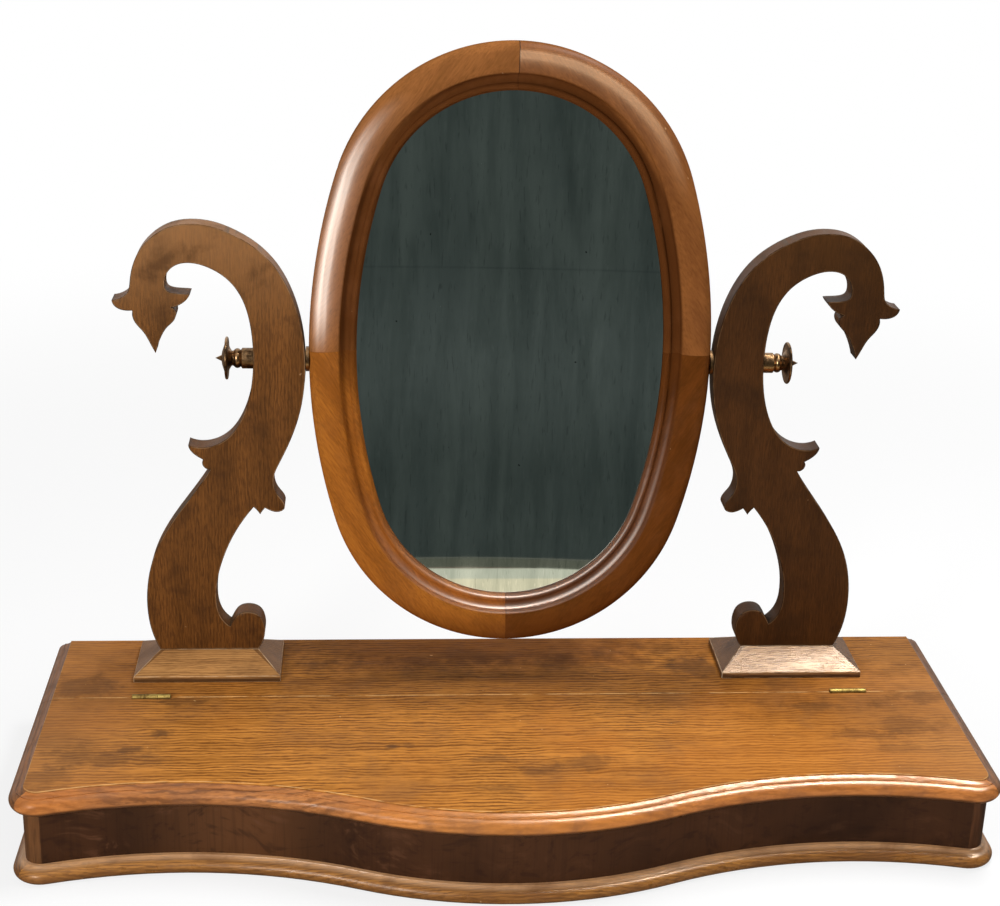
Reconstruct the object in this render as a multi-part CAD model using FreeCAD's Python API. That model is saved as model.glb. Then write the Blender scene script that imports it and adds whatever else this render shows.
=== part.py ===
"""Toilet mirror: an oval swing glass between two scroll supports, on a long low box.

The box has a serpentine front and a lid that lifts in front of a fixed rear rail.
Millimetres. X runs along the box, Y from front to back, Z up. The origin is on the
table, under the middle of the whole object. x, y and z stand for that frame, and
"out" is a distance outwards from the plan line of the box top.
"""
import FreeCAD, Part
import math
import os

VEC = FreeCAD.Vector
LEFT, RIGHT = -1, 1
SIDES = {"left": LEFT, "right": RIGHT}
X_AXIS, Y_AXIS, Z_AXIS = VEC(1, 0, 0), VEC(0, 1, 0), VEC(0, 0, 1)
PAST = 1.0                      # how far a cutting tool runs past the face it cuts

# ---- plan of the box top -------------------------------------------------------
TOP_HALF_W = 386.5              # middle to the side plan line
TOP_DEPTH = 298.5               # front of the bow to the back edge
BOW_R = 330.0                   # middle of the serpentine, bowed outwards
HOLLOW_R = 403.0                # each side of it, hollow
HOLLOW_X = 270.0                # deepest place of each hollow, from the middle
CORNER_R = 12.0                 # front corners
NOSE_OUT = 11.5                 # edge moulding, past the plan line

# ---- heights and boards of the box ---------------------------------------------
CASE_H = 59.0                   # table to the top of the walls
TOP_T = 20.0                    # rear rail, and lid with its gap
LID_GAP = 0.3                   # under the closed lid
JOINT_GAP = 0.5                 # between the lid and the rear rail
WALL_T = 20.0                   # front core and side boards, without the veneer
VENEER_T = 1.5
BOTTOM_T = 8.0
BACK_T = 12.0
PLINTH_H = 15.0
POST_FRONT = 14.5               # width of a corner post seen from the front
POST_BACK = 10.0                # how far it runs back behind the corner's round
RAIL_DEPTH = 108.6              # fixed rear rail, front to back

# ---- edge moulding of the top, as depths below the top and distances out -------
STEP_DOWN = 1.5                 # fillet between the board and its moulding
COVE_END = (5.5, 3.2)           # out, down
COVE_SAG = 0.5
NOSE_START = (5.5, 3.8)
NOSE_MID_DOWN = 10.9
NOSE_END = (4.5, 18.3)

# ---- plinth moulding, as heights above the table and distances out -------------
PLINTH_NOSE_OUT = 11.5
PLINTH_FLAT = (3.5, 14.3)       # out, up
PLINTH_COVE_MID = (4.9, 12.6)
PLINTH_COVE_END = (7.0, 11.6)
PLINTH_NOSE_UP = 6.2
PLINTH_FOOT_OUT = 7.5

# ---- blocks under the supports -------------------------------------------------
BLOCK_LIP = 5.7                 # upright edge of the block
BLOCK_H = 19.5
BLOCK_SLOPE_OUT = 21.2          # bevel, seen from above: outer end
BLOCK_SLOPE_IN = 20.3           # inner end
BLOCK_SLOPE_Y = 25.3            # front and back

# ---- scroll supports -----------------------------------------------------------
SUPPORT_T = 19.3
SUPPORT_BEHIND_JOINT = 51.6     # lid's joint to the supports' front faces
PIVOT_H = 285.0                 # box top to the swing axis
PATTERN_BASE_UP = 19.5          # the pattern's foot line
PATTERN_ARM_X = 172.0           # the pattern's inner edge beside the swing axis
PATTERN_PIVOT_UP = 287.5        # the pattern's swing axis
FOOT_IN = 214.8                 # ends of the foot on the pattern
FOOT_OUT = 299.6
ARM_OUT = 214.8                 # outer edge of the arm beside the swing axis
# Pattern of the support: distances from the object's middle and heights above the
# box top. Each row is one smooth curve, and the rows meet in corners.
SCROLL_PATTERN = [
    # outer edge of the foot, up the back of the stem
    [(FOOT_OUT, PATTERN_BASE_UP), (305.5, 34), (309.2, 55), (308.6, 82), (302, 110),
     (286, 141), (264.5, 171.5), (252.3, 190.5)],
    # small lobe under the outer leaf
    [(252.3, 190.5), (257, 192), (259, 196), (258, 199.3)],
    # underside and top of the outer leaf, hollow of the arm, throat
    [(258, 199.3), (264.5, 203.5), (268.5, 207.8), (270.2, 212.5)],
    [(270.2, 212.5), (262, 210.2), (254, 210.5), (246, 213), (236, 220), (226, 234.5),
     (219, 254), (215.5, 275), (214.8, 297), (216.8, 320), (223, 342), (233.5, 357.5),
     (249, 368), (264.5, 372), (276, 369.7), (282.3, 364), (285.3, 355.5),
     (284, 348.5), (278, 346), (265, 345)],
    # inner ear, jaw, beak and outer ear of the head
    [(265, 345), (269.5, 339), (275, 335.5), (280.5, 333.8)],
    [(280.5, 333.8), (277, 330.5), (278, 323.5), (284, 317), (289, 309), (294.2, 294.3)],
    [(294.2, 294.3), (298.5, 303), (303.5, 312.5), (309.5, 320), (312, 327), (311.5, 331)],
    [(311.5, 331), (318.5, 331), (324.7, 333.5), (328.1, 339.5)],
    # brow, crown and inner edge of the arm, down to the inner leaf
    [(328.1, 339.5), (320, 342), (315, 346.5), (313, 355), (310.5, 368), (304.5, 381.5),
     (294.5, 393), (280.5, 401.5), (264, 404.5), (246, 402.5), (228, 395.5),
     (210, 384), (195, 368), (183, 345.5), (175.8, 321.5), (172.5, 299), (172, 278),
     (173.8, 257), (178, 237), (185.5, 215.5), (194, 197), (199, 184.5), (199.3, 175.5),
     (196.5, 167.5), (191.5, 160.5), (190.5, 154.5), (195.5, 151.3), (202, 152.3),
     (207, 155)],
    # barb beside the inner leaf
    [(207, 155), (209.2, 152.2), (211.2, 149)],
    [(211.2, 149), (213.6, 152.5), (216.6, 155.7)],
    # inner edge of the stem, and the foot's small scroll
    [(216.6, 155.7), (226, 143), (236, 125.5), (243.5, 107), (248.6, 88), (250.3, 71),
     (248.3, 54.5), (239, 41.5)],
    [(239, 41.5), (236.2, 47), (231.5, 53), (222.5, 55.2), (213.5, 51.5), (209.5, 43),
     (209.3, 32), (FOOT_IN, PATTERN_BASE_UP)],
    [(FOOT_IN, PATTERN_BASE_UP), (FOOT_OUT, PATTERN_BASE_UP)],
]

# ---- oval mirror: a four-centre oval, and its moulding -------------------------
OVAL_HALF_W = 169.5
OVAL_HALF_H = 256.5
OVAL_END_SHARPER = 15.5         # radius of the top and bottom arcs, under the half width
OVAL_UP = 8.0                   # middle of the oval, above the swing axis
MIRROR_LEAN = 5.5               # degrees that the top leans back as it stands
FRAME_BACK = 9.65               # back of the frame, behind the swing axis
ROLL_START = 6.0                # front edge of the frame's flat side, before the axis
ROLL_CREST = (10.0, 12.5)       # in from the edge, before the axis
ROLL_SHOULDER = (2.9, 10.4)
ROLL_FALL = (19.5, 10.9)
ROLL_END = (25.5, 7.0)
QUIRK_FOOT = (25.9, 3.2)
COVE_MID = (28.9, 0.9)
BEAD_START = (33.0, 1.2)
BEAD_CREST = (35.6, 3.4)
BEAD_END = (38.3, 1.4)
SIGHT_IN = 39.5                 # edge of the visible glass, in from the outer edge
SIGHT_BACK = 1.0                # sight corner, behind the axis
GLASS_FRONT = 3.0               # glass, behind the axis
GLASS_T = 4.0
GLASS_COVERED = 6.0             # how far the frame laps over the glass
GLASS_EDGE_GAP = 0.5
BACKBOARD_T = 6.0
BACKBOARD_IN = 14.0             # its edge, in from the frame's edge
BACKBOARD_EDGE_GAP = 0.5
FRAME_DOWEL_R = 3.0
FRAME_DOWEL_L = 30.0
FRAME_DOWEL_IN = 21.5

# ---- swing pivots and their thumb screws ---------------------------------------
PIVOT_GAP = 3.0                 # between the frame and each support
PLATE_T = 2.5                   # brass plate on the frame's side
PLATE_R = 10.5
NUT_R = 6.0
NUT_L = 17.0
ROD_R = 3.0
ROD_FIT = 0.05                  # radial play of the rod in the nut
ROD_IN_NUT = 14.0
ROD_IN_KNOB = 9.0
ROD_POINT = 1.5                 # chamfer at the rod's inner end
SUPPORT_BORE_GAP = 0.25         # radial play of the rod in the support
KNOB_GAP = 0.3                  # between the knob's collar and the support
# Knob turning: distance from the collar's seat, radius
KNOB_COLLAR = (9.0, 8.7)
KNOB_GROOVE = (10.4, 6.9)
KNOB_RING_MID = (13.2, 8.3)
KNOB_RING_END = (16.0, 6.6)
KNOB_NECK = (17.6, 6.2)
KNOB_FLARE_MID = (19.6, 9.5)
KNOB_RIM = (20.8, 17.0)
KNOB_RIM_MID = (21.9, 18.0)
KNOB_RIM_FRONT = (23.0, 17.0)
KNOB_DISH = (22.4, 14.0)
KNOB_STEP = (23.4, 12.5)
KNOB_DOME = (25.6, 6.0)
KNOB_TIP_BASE = (26.2, 2.6)
KNOB_TIP = 31.5

# ---- brass butt hinges of the lid ----------------------------------------------
HINGE_FROM_SIDE = 83.3          # plan line at the side to the middle of a hinge
HINGE_L = 32.0
HINGE_R = 2.5                   # knuckle
HINGE_UP = 0.3                  # pin above the box top
HINGE_PIN_R = 1.1
HINGE_PIN_FIT = 0.05
LEAF_T = 1.2
LEAF_DOWN = 15.0                # leaf, below the box top
KNUCKLES = 3                    # in line, in one hinge
KNUCKLE_GAP = 0.3               # between neighbouring knuckles
KNUCKLE_CLEAR = 0.35            # round the knuckles in the wood
HINGE_SCREW_PITCH = 10.0

# ---- wood screws: shank radius, length, head radius, head depth ----------------
HINGE_SCREW = (1.4, 11.0, 2.3, 1.0)
PLATE_SCREW = (0.9, 9.0, 1.6, 0.8)
BACKBOARD_SCREW = (1.6, 12.0, 3.1, 1.6)
BOTTOM_SCREW = (2.0, 30.0, 4.0, 2.4)
BLOCK_SCREW = (2.2, 31.0, 4.3, 2.6)
SLOT_W = 0.7
SLOT_DEPTH_SHARE = 0.5          # of the head's depth
SCREW_TIP_LONG = 2.0            # length of a screw's tip, in shank radii
SCREW_TIP_SHARP = 0.25          # radius at its end, in shank radii
PLATE_SCREW_OUT = 8.0           # pitch radius on the pivot plate
BACKBOARD_SCREW_IN = 19.0       # in from the frame's edge
BACKBOARD_SCREW_ANGLES = (18, 62)
BOTTOM_SCREWS_FRONT = (86.5, 276.5)     # in from the plan line at the side
BOTTOM_SCREWS_BACK = (106.5, 291.5)
BLOCK_SCREW_SPAN = 33.0         # from the middle of the block
DOWEL_R = 4.75
DOWEL_SPAN = 17.0               # from the middle of the block
DOWEL_IN_RAIL = 14.0
DOWEL_IN_SUPPORT = 16.0

# ---- places worked out from the sizes above ------------------------------------
CASE_TOP = CASE_H + TOP_T
BACK_Y = (TOP_DEPTH + max(NOSE_OUT, PLINTH_NOSE_OUT)) / 2
FRONT_Y = BACK_Y - TOP_DEPTH
JOINT_Y = BACK_Y - RAIL_DEPTH
BOW_C = VEC(0, FRONT_Y + BOW_R, 0)
BOW_TURN = math.asin(HOLLOW_X / (BOW_R + HOLLOW_R))
HOLLOW_Y = BOW_C.y - (BOW_R + HOLLOW_R) * math.cos(BOW_TURN)
CORNER_X = TOP_HALF_W - CORNER_R
HOLLOW_TURN = math.asin((CORNER_X - HOLLOW_X) / (HOLLOW_R + CORNER_R))
CORNER_Y = HOLLOW_Y + (HOLLOW_R + CORNER_R) * math.cos(HOLLOW_TURN)
OUTER_X = TOP_HALF_W + VENEER_T
INNER_X = TOP_HALF_W - WALL_T
ARM_X = OVAL_HALF_W + PIVOT_GAP
SUPPORT_SHIFT = ARM_X - PATTERN_ARM_X
PIVOT_Z = CASE_TOP + PIVOT_H
SUPPORT_STRETCH = (PIVOT_H - BLOCK_H) / (PATTERN_PIVOT_UP - PATTERN_BASE_UP)
SUPPORT_Y = JOINT_Y + SUPPORT_BEHIND_JOINT
SUPPORT_BACK_Y = SUPPORT_Y + SUPPORT_T
PIVOT_Y = SUPPORT_Y + SUPPORT_T / 2
BLOCK_TOP = CASE_TOP + BLOCK_H
BLOCK_IN = FOOT_IN + SUPPORT_SHIFT
BLOCK_OUT = FOOT_OUT + SUPPORT_SHIFT
BLOCK_X = (BLOCK_IN + BLOCK_OUT) / 2
SEAT_X = ARM_OUT + SUPPORT_SHIFT
HINGE_X = TOP_HALF_W - HINGE_FROM_SIDE
HINGE_Z = CASE_TOP + HINGE_UP
LID_LOW = CASE_H + LID_GAP
RAIL_Y = JOINT_Y + JOINT_GAP / 2
LID_Y = JOINT_Y - JOINT_GAP / 2
OVAL_Z = PIVOT_Z + OVAL_UP
OVAL_END_R = OVAL_HALF_W - OVAL_END_SHARPER
OVAL_END_UP = OVAL_HALF_H - OVAL_END_R
OVAL_SIDE_R = ((OVAL_END_UP ** 2 + OVAL_HALF_W ** 2 - OVAL_END_R ** 2)
               / (2 * OVAL_END_SHARPER))
OVAL_SIDE_IN = OVAL_SIDE_R - OVAL_HALF_W
OVAL_END_TURN = math.atan2(OVAL_SIDE_IN, OVAL_END_UP)
GLASS_BACK = GLASS_FRONT + GLASS_T
GLASS_IN = SIGHT_IN - GLASS_COVERED

# ---- arcs of the plan line, right half: centre, radius, side it bows to, turns --
# A turn of 0 points to the front and a positive turn goes towards +X.
BOW = (BOW_C, BOW_R, 1, 0, BOW_TURN)
HOLLOW = (VEC(HOLLOW_X, HOLLOW_Y, 0), HOLLOW_R, -1, math.pi + BOW_TURN,
          math.pi - HOLLOW_TURN)
CORNER = (VEC(CORNER_X, CORNER_Y, 0), CORNER_R, 1, -HOLLOW_TURN, math.pi / 2)
MITRE_TURN = math.pi / 4


# ---- small tools -----------------------------------------------------------------
def box(x_range, y_range, z_range):
    """Box between two limits along each axis."""
    lows = [min(limits) for limits in (x_range, y_range, z_range)]
    sizes = [abs(limits[1] - limits[0]) for limits in (x_range, y_range, z_range)]
    return Part.makeBox(*sizes, VEC(*lows))


def mirrored(shape):
    """The same piece on the other side of the object's middle."""
    return shape.mirror(VEC(0, 0, 0), X_AXIS)


def on_side(shape, side):
    """A piece made for the right, put on the side wanted."""
    return shape if side == RIGHT else mirrored(shape)


def joined(shapes):
    """One solid from pieces that touch or overlap."""
    whole = shapes[0].fuse(shapes[1:])
    return whole.removeSplitter()


def profile_wire(start, steps, place):
    """Closed wire. A step is an end point, or an arc's middle point and end point."""
    edges = []
    here = place(*start)
    for step in steps + [(start,)]:
        points = [place(*point) for point in step]
        if len(points) == 2:
            edges.append(Part.Arc(here, points[0], points[1]).toShape())
        else:
            edges.append(Part.LineSegment(here, points[0]).toShape())
        here = points[-1]
    return Part.Wire(edges)


# ---- the plan of the box -----------------------------------------------------------
def plan_point(arc, out, turn):
    """Point at a distance outside the plan line, on one of its arcs."""
    centre, radius, sign = arc[:3]
    reach = radius + sign * out
    return VEC(centre.x + reach * math.sin(turn), centre.y - reach * math.cos(turn), 0)


def plan_arc(arc, out, start, end):
    """Edge that follows one arc of the plan line."""
    turns = (start, (start + end) / 2, end)
    return Part.Arc(*[plan_point(arc, out, turn) for turn in turns]).toShape()


def plan_wire(out, back):
    """Outline of the box, moved outwards, and closed by a straight back edge."""
    side_x = TOP_HALF_W + out
    rounded = CORNER_R + out > 0
    hollow_end = HOLLOW[4]
    if not rounded:
        hollow_end = math.pi - math.asin((side_x - HOLLOW_X) / (HOLLOW_R - out))
    half = [plan_arc(BOW, out, 0, BOW_TURN), plan_arc(HOLLOW, out, HOLLOW[3], hollow_end)]
    if rounded:
        half.append(plan_arc(CORNER, out, CORNER[3], CORNER[4]))
        turn_point = plan_point(CORNER, out, CORNER[4])
    else:
        turn_point = plan_point(HOLLOW, out, hollow_end)
    half.append(Part.LineSegment(turn_point, VEC(side_x, back, 0)).toShape())
    half.append(Part.LineSegment(VEC(side_x, back, 0), VEC(0, back, 0)).toShape())
    whole = half + [mirrored(edge) for edge in half]
    return Part.Wire(Part.__sortEdges__(whole))


def plan_board(out, low, high, back=BACK_Y):
    """Board with the outline of the box, between two heights."""
    board = Part.Face(plan_wire(out, back)).extrude(VEC(0, 0, high - low))
    board.translate(VEC(0, 0, low))
    return board


def plan_y(x, out):
    """Where a line inside or outside the plan line crosses a distance from the middle."""
    across = abs(x)
    if across < (BOW_R + out) * math.sin(BOW_TURN):
        return BOW_C.y - math.sqrt((BOW_R + out) ** 2 - across ** 2)
    return HOLLOW_Y + math.sqrt((HOLLOW_R - out) ** 2 - (across - HOLLOW_X) ** 2)


# ---- mouldings that follow the plan ------------------------------------------------
def top_profile(place):
    """Edge moulding of the top: a fillet, a shallow cove and a round nose."""
    cove_mid = (COVE_END[0] / 2, (STEP_DOWN + COVE_END[1]) / 2 + COVE_SAG)
    steps = [
        (cove_mid, COVE_END),
        (NOSE_START,),
        ((NOSE_OUT, NOSE_MID_DOWN), NOSE_END),
        ((VENEER_T, CASE_TOP - LID_LOW),),
        ((0, CASE_TOP - LID_LOW),),
    ]
    return profile_wire((0, STEP_DOWN), steps, lambda out, down: place(out, CASE_TOP - down))


def plinth_profile(place):
    """Moulding at the foot of the box: a flat, a small cove and a round nose."""
    steps = [
        (PLINTH_FLAT,),
        (PLINTH_COVE_MID, PLINTH_COVE_END),
        ((PLINTH_NOSE_OUT, PLINTH_NOSE_UP), (PLINTH_FOOT_OUT, 0)),
        ((VENEER_T, 0),),
    ]
    return profile_wire((VENEER_T, PLINTH_H), steps, place)


def moulding_arc(profile, arc, start, end):
    """Moulding carried round part of one arc of the plan."""
    centre, radius, sign = arc[:3]
    wire = profile(lambda out, up: VEC(0, -(radius + sign * out), up))
    first, last = min(start, end), max(start, end)
    solid = Part.Face(wire).revolve(VEC(0, 0, 0), Z_AXIS, math.degrees(last - first))
    solid.rotate(VEC(0, 0, 0), Z_AXIS, math.degrees(first))
    solid.translate(centre)
    return solid


def moulding_straight(profile, start, end):
    """Moulding along the right side of the box, between two places on Y."""
    wire = profile(lambda out, up: VEC(TOP_HALF_W + out, start, up))
    return Part.Face(wire).extrude(VEC(0, end - start, 0))


def front_moulding(profile):
    """Moulding along the whole front, mitred in the middle of each corner."""
    right = [moulding_arc(profile, HOLLOW, HOLLOW[3], HOLLOW[4]),
             moulding_arc(profile, CORNER, CORNER[3], MITRE_TURN)]
    left = [mirrored(piece) for piece in right]
    return joined([moulding_arc(profile, BOW, -BOW_TURN, BOW_TURN)] + right + left)


def side_moulding(profile, back):
    """Moulding along the right side, from the corner's mitre to a place on Y."""
    return joined([moulding_arc(profile, CORNER, MITRE_TURN, CORNER[4]),
                   moulding_straight(profile, CORNER_Y, back)])


# ---- screws and dowels -------------------------------------------------------------
def screw_body(size, point, direction):
    """Countersunk screw without its slot: flat of the head at the point."""
    shank, length, head, head_depth = size
    tip = SCREW_TIP_LONG * shank
    pieces = [Part.makeCone(head, shank, head_depth),
              Part.makeCylinder(shank, length - head_depth - tip, VEC(0, 0, head_depth)),
              Part.makeCone(shank, SCREW_TIP_SHARP * shank, tip, VEC(0, 0, length - tip))]
    body = joined(pieces)
    body.Placement = FreeCAD.Placement(point, FreeCAD.Rotation(Z_AXIS, direction))
    return body


def screw(size, point, direction):
    """Countersunk wood screw with a slotted head."""
    shank, length, head, head_depth = size
    depth = head_depth * SLOT_DEPTH_SHARE
    slot = box((-head, head), (-SLOT_W / 2, SLOT_W / 2), (-PAST, depth))
    slot.Placement = FreeCAD.Placement(point, FreeCAD.Rotation(Z_AXIS, direction))
    return screw_body(size, point, direction).cut(slot)


def screws(size, places):
    """Group of like screws, at places given as (point, direction)."""
    return Part.makeCompound([screw(size, point, direction) for point, direction in places])


def screw_holes(size, places):
    """The room that a group of screws takes in the wood."""
    return [screw_body(size, point, direction) for point, direction in places]


def cut_all(shape, tools):
    """A piece with the room for other pieces taken out of it."""
    return shape.cut(tools) if tools else shape


# ---- box ---------------------------------------------------------------------------
def bottom_screw_places():
    """Screws up through the bottom board into the front and back walls."""
    points = []
    for side in SIDES.values():
        for inward in BOTTOM_SCREWS_FRONT:
            x = side * (TOP_HALF_W - inward)
            points.append(VEC(x, plan_y(x, -WALL_T / 2), 0))
        for inward in BOTTOM_SCREWS_BACK:
            points.append(VEC(side * (TOP_HALF_W - inward), BACK_Y - BACK_T / 2, 0))
    return [(point, Z_AXIS) for point in points]


def wall_ring(out):
    """Band of the walls, from their inner faces to a distance outside the plan line."""
    outer = plan_board(out, BOTTOM_T, CASE_H)
    inner = plan_board(-WALL_T, BOTTOM_T - PAST, CASE_H + PAST, BACK_Y + PAST)
    return outer.cut(inner)


def post_region(side):
    """Space of one corner post."""
    return box((side * (OUTER_X - POST_FRONT), side * (OUTER_X + PAST)),
               (FRONT_Y - NOSE_OUT, CORNER_Y + POST_BACK), (0, CASE_H))


def front_region():
    """Space of the front wall between the corner posts and before the side boards."""
    reach = OUTER_X - POST_FRONT
    front = FRONT_Y - NOSE_OUT
    return joined([box((-reach, reach), (front, CORNER_Y + POST_BACK), (0, CASE_H)),
                   box((-INNER_X, INNER_X), (front, BACK_Y), (0, CASE_H))])


def front_core():
    core = wall_ring(0).common(front_region())
    return cut_all(core, screw_holes(BOTTOM_SCREW, bottom_screw_places()))


def front_veneer():
    skin = plan_board(VENEER_T, BOTTOM_T, CASE_H)
    skin = skin.cut(plan_board(0, BOTTOM_T - PAST, CASE_H + PAST, BACK_Y + PAST))
    return skin.common(front_region())


def corner_post(side):
    return wall_ring(VENEER_T).common(post_region(side))


def side_board(side):
    return box((side * INNER_X, side * OUTER_X), (CORNER_Y + POST_BACK, BACK_Y),
               (BOTTOM_T, CASE_H))


def back_board():
    board = box((-INNER_X, INNER_X), (BACK_Y - BACK_T, BACK_Y), (BOTTOM_T, CASE_H))
    return cut_all(board, screw_holes(BOTTOM_SCREW, bottom_screw_places()))


def bottom_board():
    board = plan_board(VENEER_T, 0, BOTTOM_T)
    return cut_all(board, screw_holes(BOTTOM_SCREW, bottom_screw_places()))


def block(side):
    """Bevelled block under one support."""
    outer_x = (BLOCK_IN - BLOCK_SLOPE_IN, BLOCK_OUT + BLOCK_SLOPE_OUT)
    outer_y = (SUPPORT_Y - BLOCK_SLOPE_Y, SUPPORT_BACK_Y + BLOCK_SLOPE_Y)
    lip_top = CASE_TOP + BLOCK_LIP

    def rectangle(x_range, y_range, z):
        corners = [VEC(x_range[0], y_range[0], z), VEC(x_range[1], y_range[0], z),
                   VEC(x_range[1], y_range[1], z), VEC(x_range[0], y_range[1], z)]
        return Part.makePolygon(corners + corners[:1])

    slopes = Part.makeLoft([rectangle(outer_x, outer_y, lip_top),
                            rectangle((BLOCK_IN, BLOCK_OUT), (SUPPORT_Y, SUPPORT_BACK_Y),
                                      BLOCK_TOP)], True, True)
    lip = box(outer_x, outer_y, (CASE_TOP, lip_top))
    tools = dowels(RIGHT) + screw_holes(BLOCK_SCREW, block_screw_places(RIGHT))
    return on_side(cut_all(joined([lip, slopes]), tools), side)


def dowels(side):
    """Two dowels that join a support, its block and the rear rail."""
    low = CASE_TOP - DOWEL_IN_RAIL
    length = BLOCK_TOP + DOWEL_IN_SUPPORT - low
    places = [VEC(side * (BLOCK_X + shift), PIVOT_Y, low) for shift in (-DOWEL_SPAN, DOWEL_SPAN)]
    return [Part.makeCylinder(DOWEL_R, length, place) for place in places]


def block_screw_places(side):
    """Screws from under the rear rail up into a block."""
    places = [VEC(side * (BLOCK_X + shift), PIVOT_Y, CASE_H)
              for shift in (-BLOCK_SCREW_SPAN, BLOCK_SCREW_SPAN)]
    return [(place, Z_AXIS) for place in places]


def rear_rail():
    """Fixed rear part of the top, which carries the supports and the hinges."""
    board = box((-TOP_HALF_W, TOP_HALF_W), (RAIL_Y, BACK_Y), (CASE_H, CASE_TOP))
    tools = []
    for side in SIDES.values():
        tools += dowels(side)
        tools += screw_holes(BLOCK_SCREW, block_screw_places(side))
        tools += hinge_pocket(side, 1)
    return cut_all(board, tools)


def lid_board():
    board = plan_board(0, LID_LOW, CASE_TOP, LID_Y)
    tools = []
    for side in SIDES.values():
        tools += hinge_pocket(side, -1)
    return cut_all(board, tools)


# ---- hinges ------------------------------------------------------------------------
def hinge_cylinder(side, radius, start, end):
    """Cylinder on the hinge axis, between two distances from the hinge's middle."""
    middle = side * HINGE_X
    return Part.makeCylinder(radius, end - start, VEC(middle + start, JOINT_Y, HINGE_Z), X_AXIS)


def leaf_plate(side, way):
    """Flat plate of one leaf: way 1 on the rail's face, -1 on the lid's."""
    near = JOINT_Y + way * JOINT_GAP / 2
    middle = side * HINGE_X
    return box((middle - HINGE_L / 2, middle + HINGE_L / 2), (near, near + way * LEAF_T),
               (CASE_TOP - LEAF_DOWN, HINGE_Z))


def knuckle_spans(way):
    """The lid's leaf has the middle knuckle, and the rail's leaf the outer two."""
    middle = HINGE_L / KNUCKLES / 2
    if way < 0:
        return [(-middle + KNUCKLE_GAP / 2, middle - KNUCKLE_GAP / 2)]
    return [(-HINGE_L / 2, -middle - KNUCKLE_GAP / 2), (middle + KNUCKLE_GAP / 2, HINGE_L / 2)]


def hinge_screw_places(side, way):
    near = JOINT_Y + way * JOINT_GAP / 2
    height = CASE_TOP - (LEAF_DOWN + HINGE_R) / 2
    shifts = (-HINGE_SCREW_PITCH, 0, HINGE_SCREW_PITCH)
    return [(VEC(side * HINGE_X + shift, near, height), VEC(0, way, 0)) for shift in shifts]


def hinge_leaf(side, way):
    """One leaf with its knuckles, bored for the pin and for its screws."""
    knuckles = [hinge_cylinder(side, HINGE_R, *span) for span in knuckle_spans(way)]
    room = [hinge_cylinder(side, HINGE_R + KNUCKLE_GAP, start - KNUCKLE_GAP, end + KNUCKLE_GAP)
            for start, end in knuckle_spans(-way)]
    leaf = joined([leaf_plate(side, way).cut(room)] + knuckles)
    bore = hinge_cylinder(side, HINGE_PIN_R + HINGE_PIN_FIT, -HINGE_L, HINGE_L)
    return leaf.cut([bore] + screw_holes(HINGE_SCREW, hinge_screw_places(side, way)))


def hinge_pocket(side, way):
    """Room for a hinge in the edge of the rail or of the lid."""
    reach = HINGE_L / 2 + KNUCKLE_CLEAR
    groove = hinge_cylinder(side, HINGE_R + KNUCKLE_CLEAR, -reach, reach)
    plate = leaf_plate(side, way)
    return [groove, plate] + screw_holes(HINGE_SCREW, hinge_screw_places(side, way))


def hinge_pin(side):
    return hinge_cylinder(side, HINGE_PIN_R, -HINGE_L / 2, HINGE_L / 2)


# ---- scroll supports ---------------------------------------------------------------
def pattern_point(x, up):
    """Point of the support's pattern, on the front face of the right support."""
    height = BLOCK_TOP + (up - PATTERN_BASE_UP) * SUPPORT_STRETCH
    return VEC(x + SUPPORT_SHIFT, SUPPORT_Y, height)


def pattern_edge(row):
    points = [pattern_point(x, up) for x, up in row]
    if len(points) == 2:
        return Part.LineSegment(*points).toShape()
    curve = Part.BSplineCurve()
    curve.interpolate(points)
    return curve.toShape()


def support(side):
    """Fretted scroll support, bored for the thumb screw and for its dowels."""
    outline = Part.Wire([pattern_edge(row) for row in SCROLL_PATTERN])
    board = Part.Face(outline).extrude(VEC(0, SUPPORT_T, 0))
    axis = VEC(ARM_X - PAST, PIVOT_Y, PIVOT_Z)
    bore = Part.makeCylinder(ROD_R + SUPPORT_BORE_GAP, SEAT_X - ARM_X + 2 * PAST, axis, X_AXIS)
    seat_r = KNOB_COLLAR[1] + SUPPORT_BORE_GAP
    seat = Part.makeCylinder(seat_r, KNOB_COLLAR[0], VEC(SEAT_X, PIVOT_Y, PIVOT_Z), X_AXIS)
    return on_side(board.cut([bore, seat] + dowels(RIGHT)), side)


# ---- oval frame --------------------------------------------------------------------
def oval_centre(kind):
    """Centre and outer radius of one of the oval's arcs, right side."""
    if kind == "side":
        return VEC(-OVAL_SIDE_IN, PIVOT_Y, OVAL_Z), OVAL_SIDE_R
    rise = OVAL_END_UP if kind == "top" else -OVAL_END_UP
    return VEC(0, PIVOT_Y, OVAL_Z + rise), OVAL_END_R


def frame_profile(radius):
    """Section of the frame: a broad roll, a quirk, a cove and a bead at the glass."""
    rebate = GLASS_IN - GLASS_EDGE_GAP
    recess = BACKBOARD_IN - BACKBOARD_EDGE_GAP

    def before(point):
        return (point[0], -point[1])

    steps = [
        ((0, -ROLL_START),),
        (before(ROLL_SHOULDER), before(ROLL_CREST)),
        (before(ROLL_FALL), before(ROLL_END)),
        (before(QUIRK_FOOT),),
        (before(COVE_MID), before(BEAD_START)),
        (before(BEAD_CREST), before(BEAD_END)),
        ((SIGHT_IN, SIGHT_BACK),),
        ((SIGHT_IN, GLASS_FRONT),),
        ((rebate, GLASS_FRONT),),
        ((rebate, GLASS_BACK),),
        ((recess, GLASS_BACK),),
        ((recess, FRAME_BACK),),
    ]
    return profile_wire((0, FRAME_BACK), steps,
                        lambda inward, depth: VEC(0, depth, radius - inward))


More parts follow.
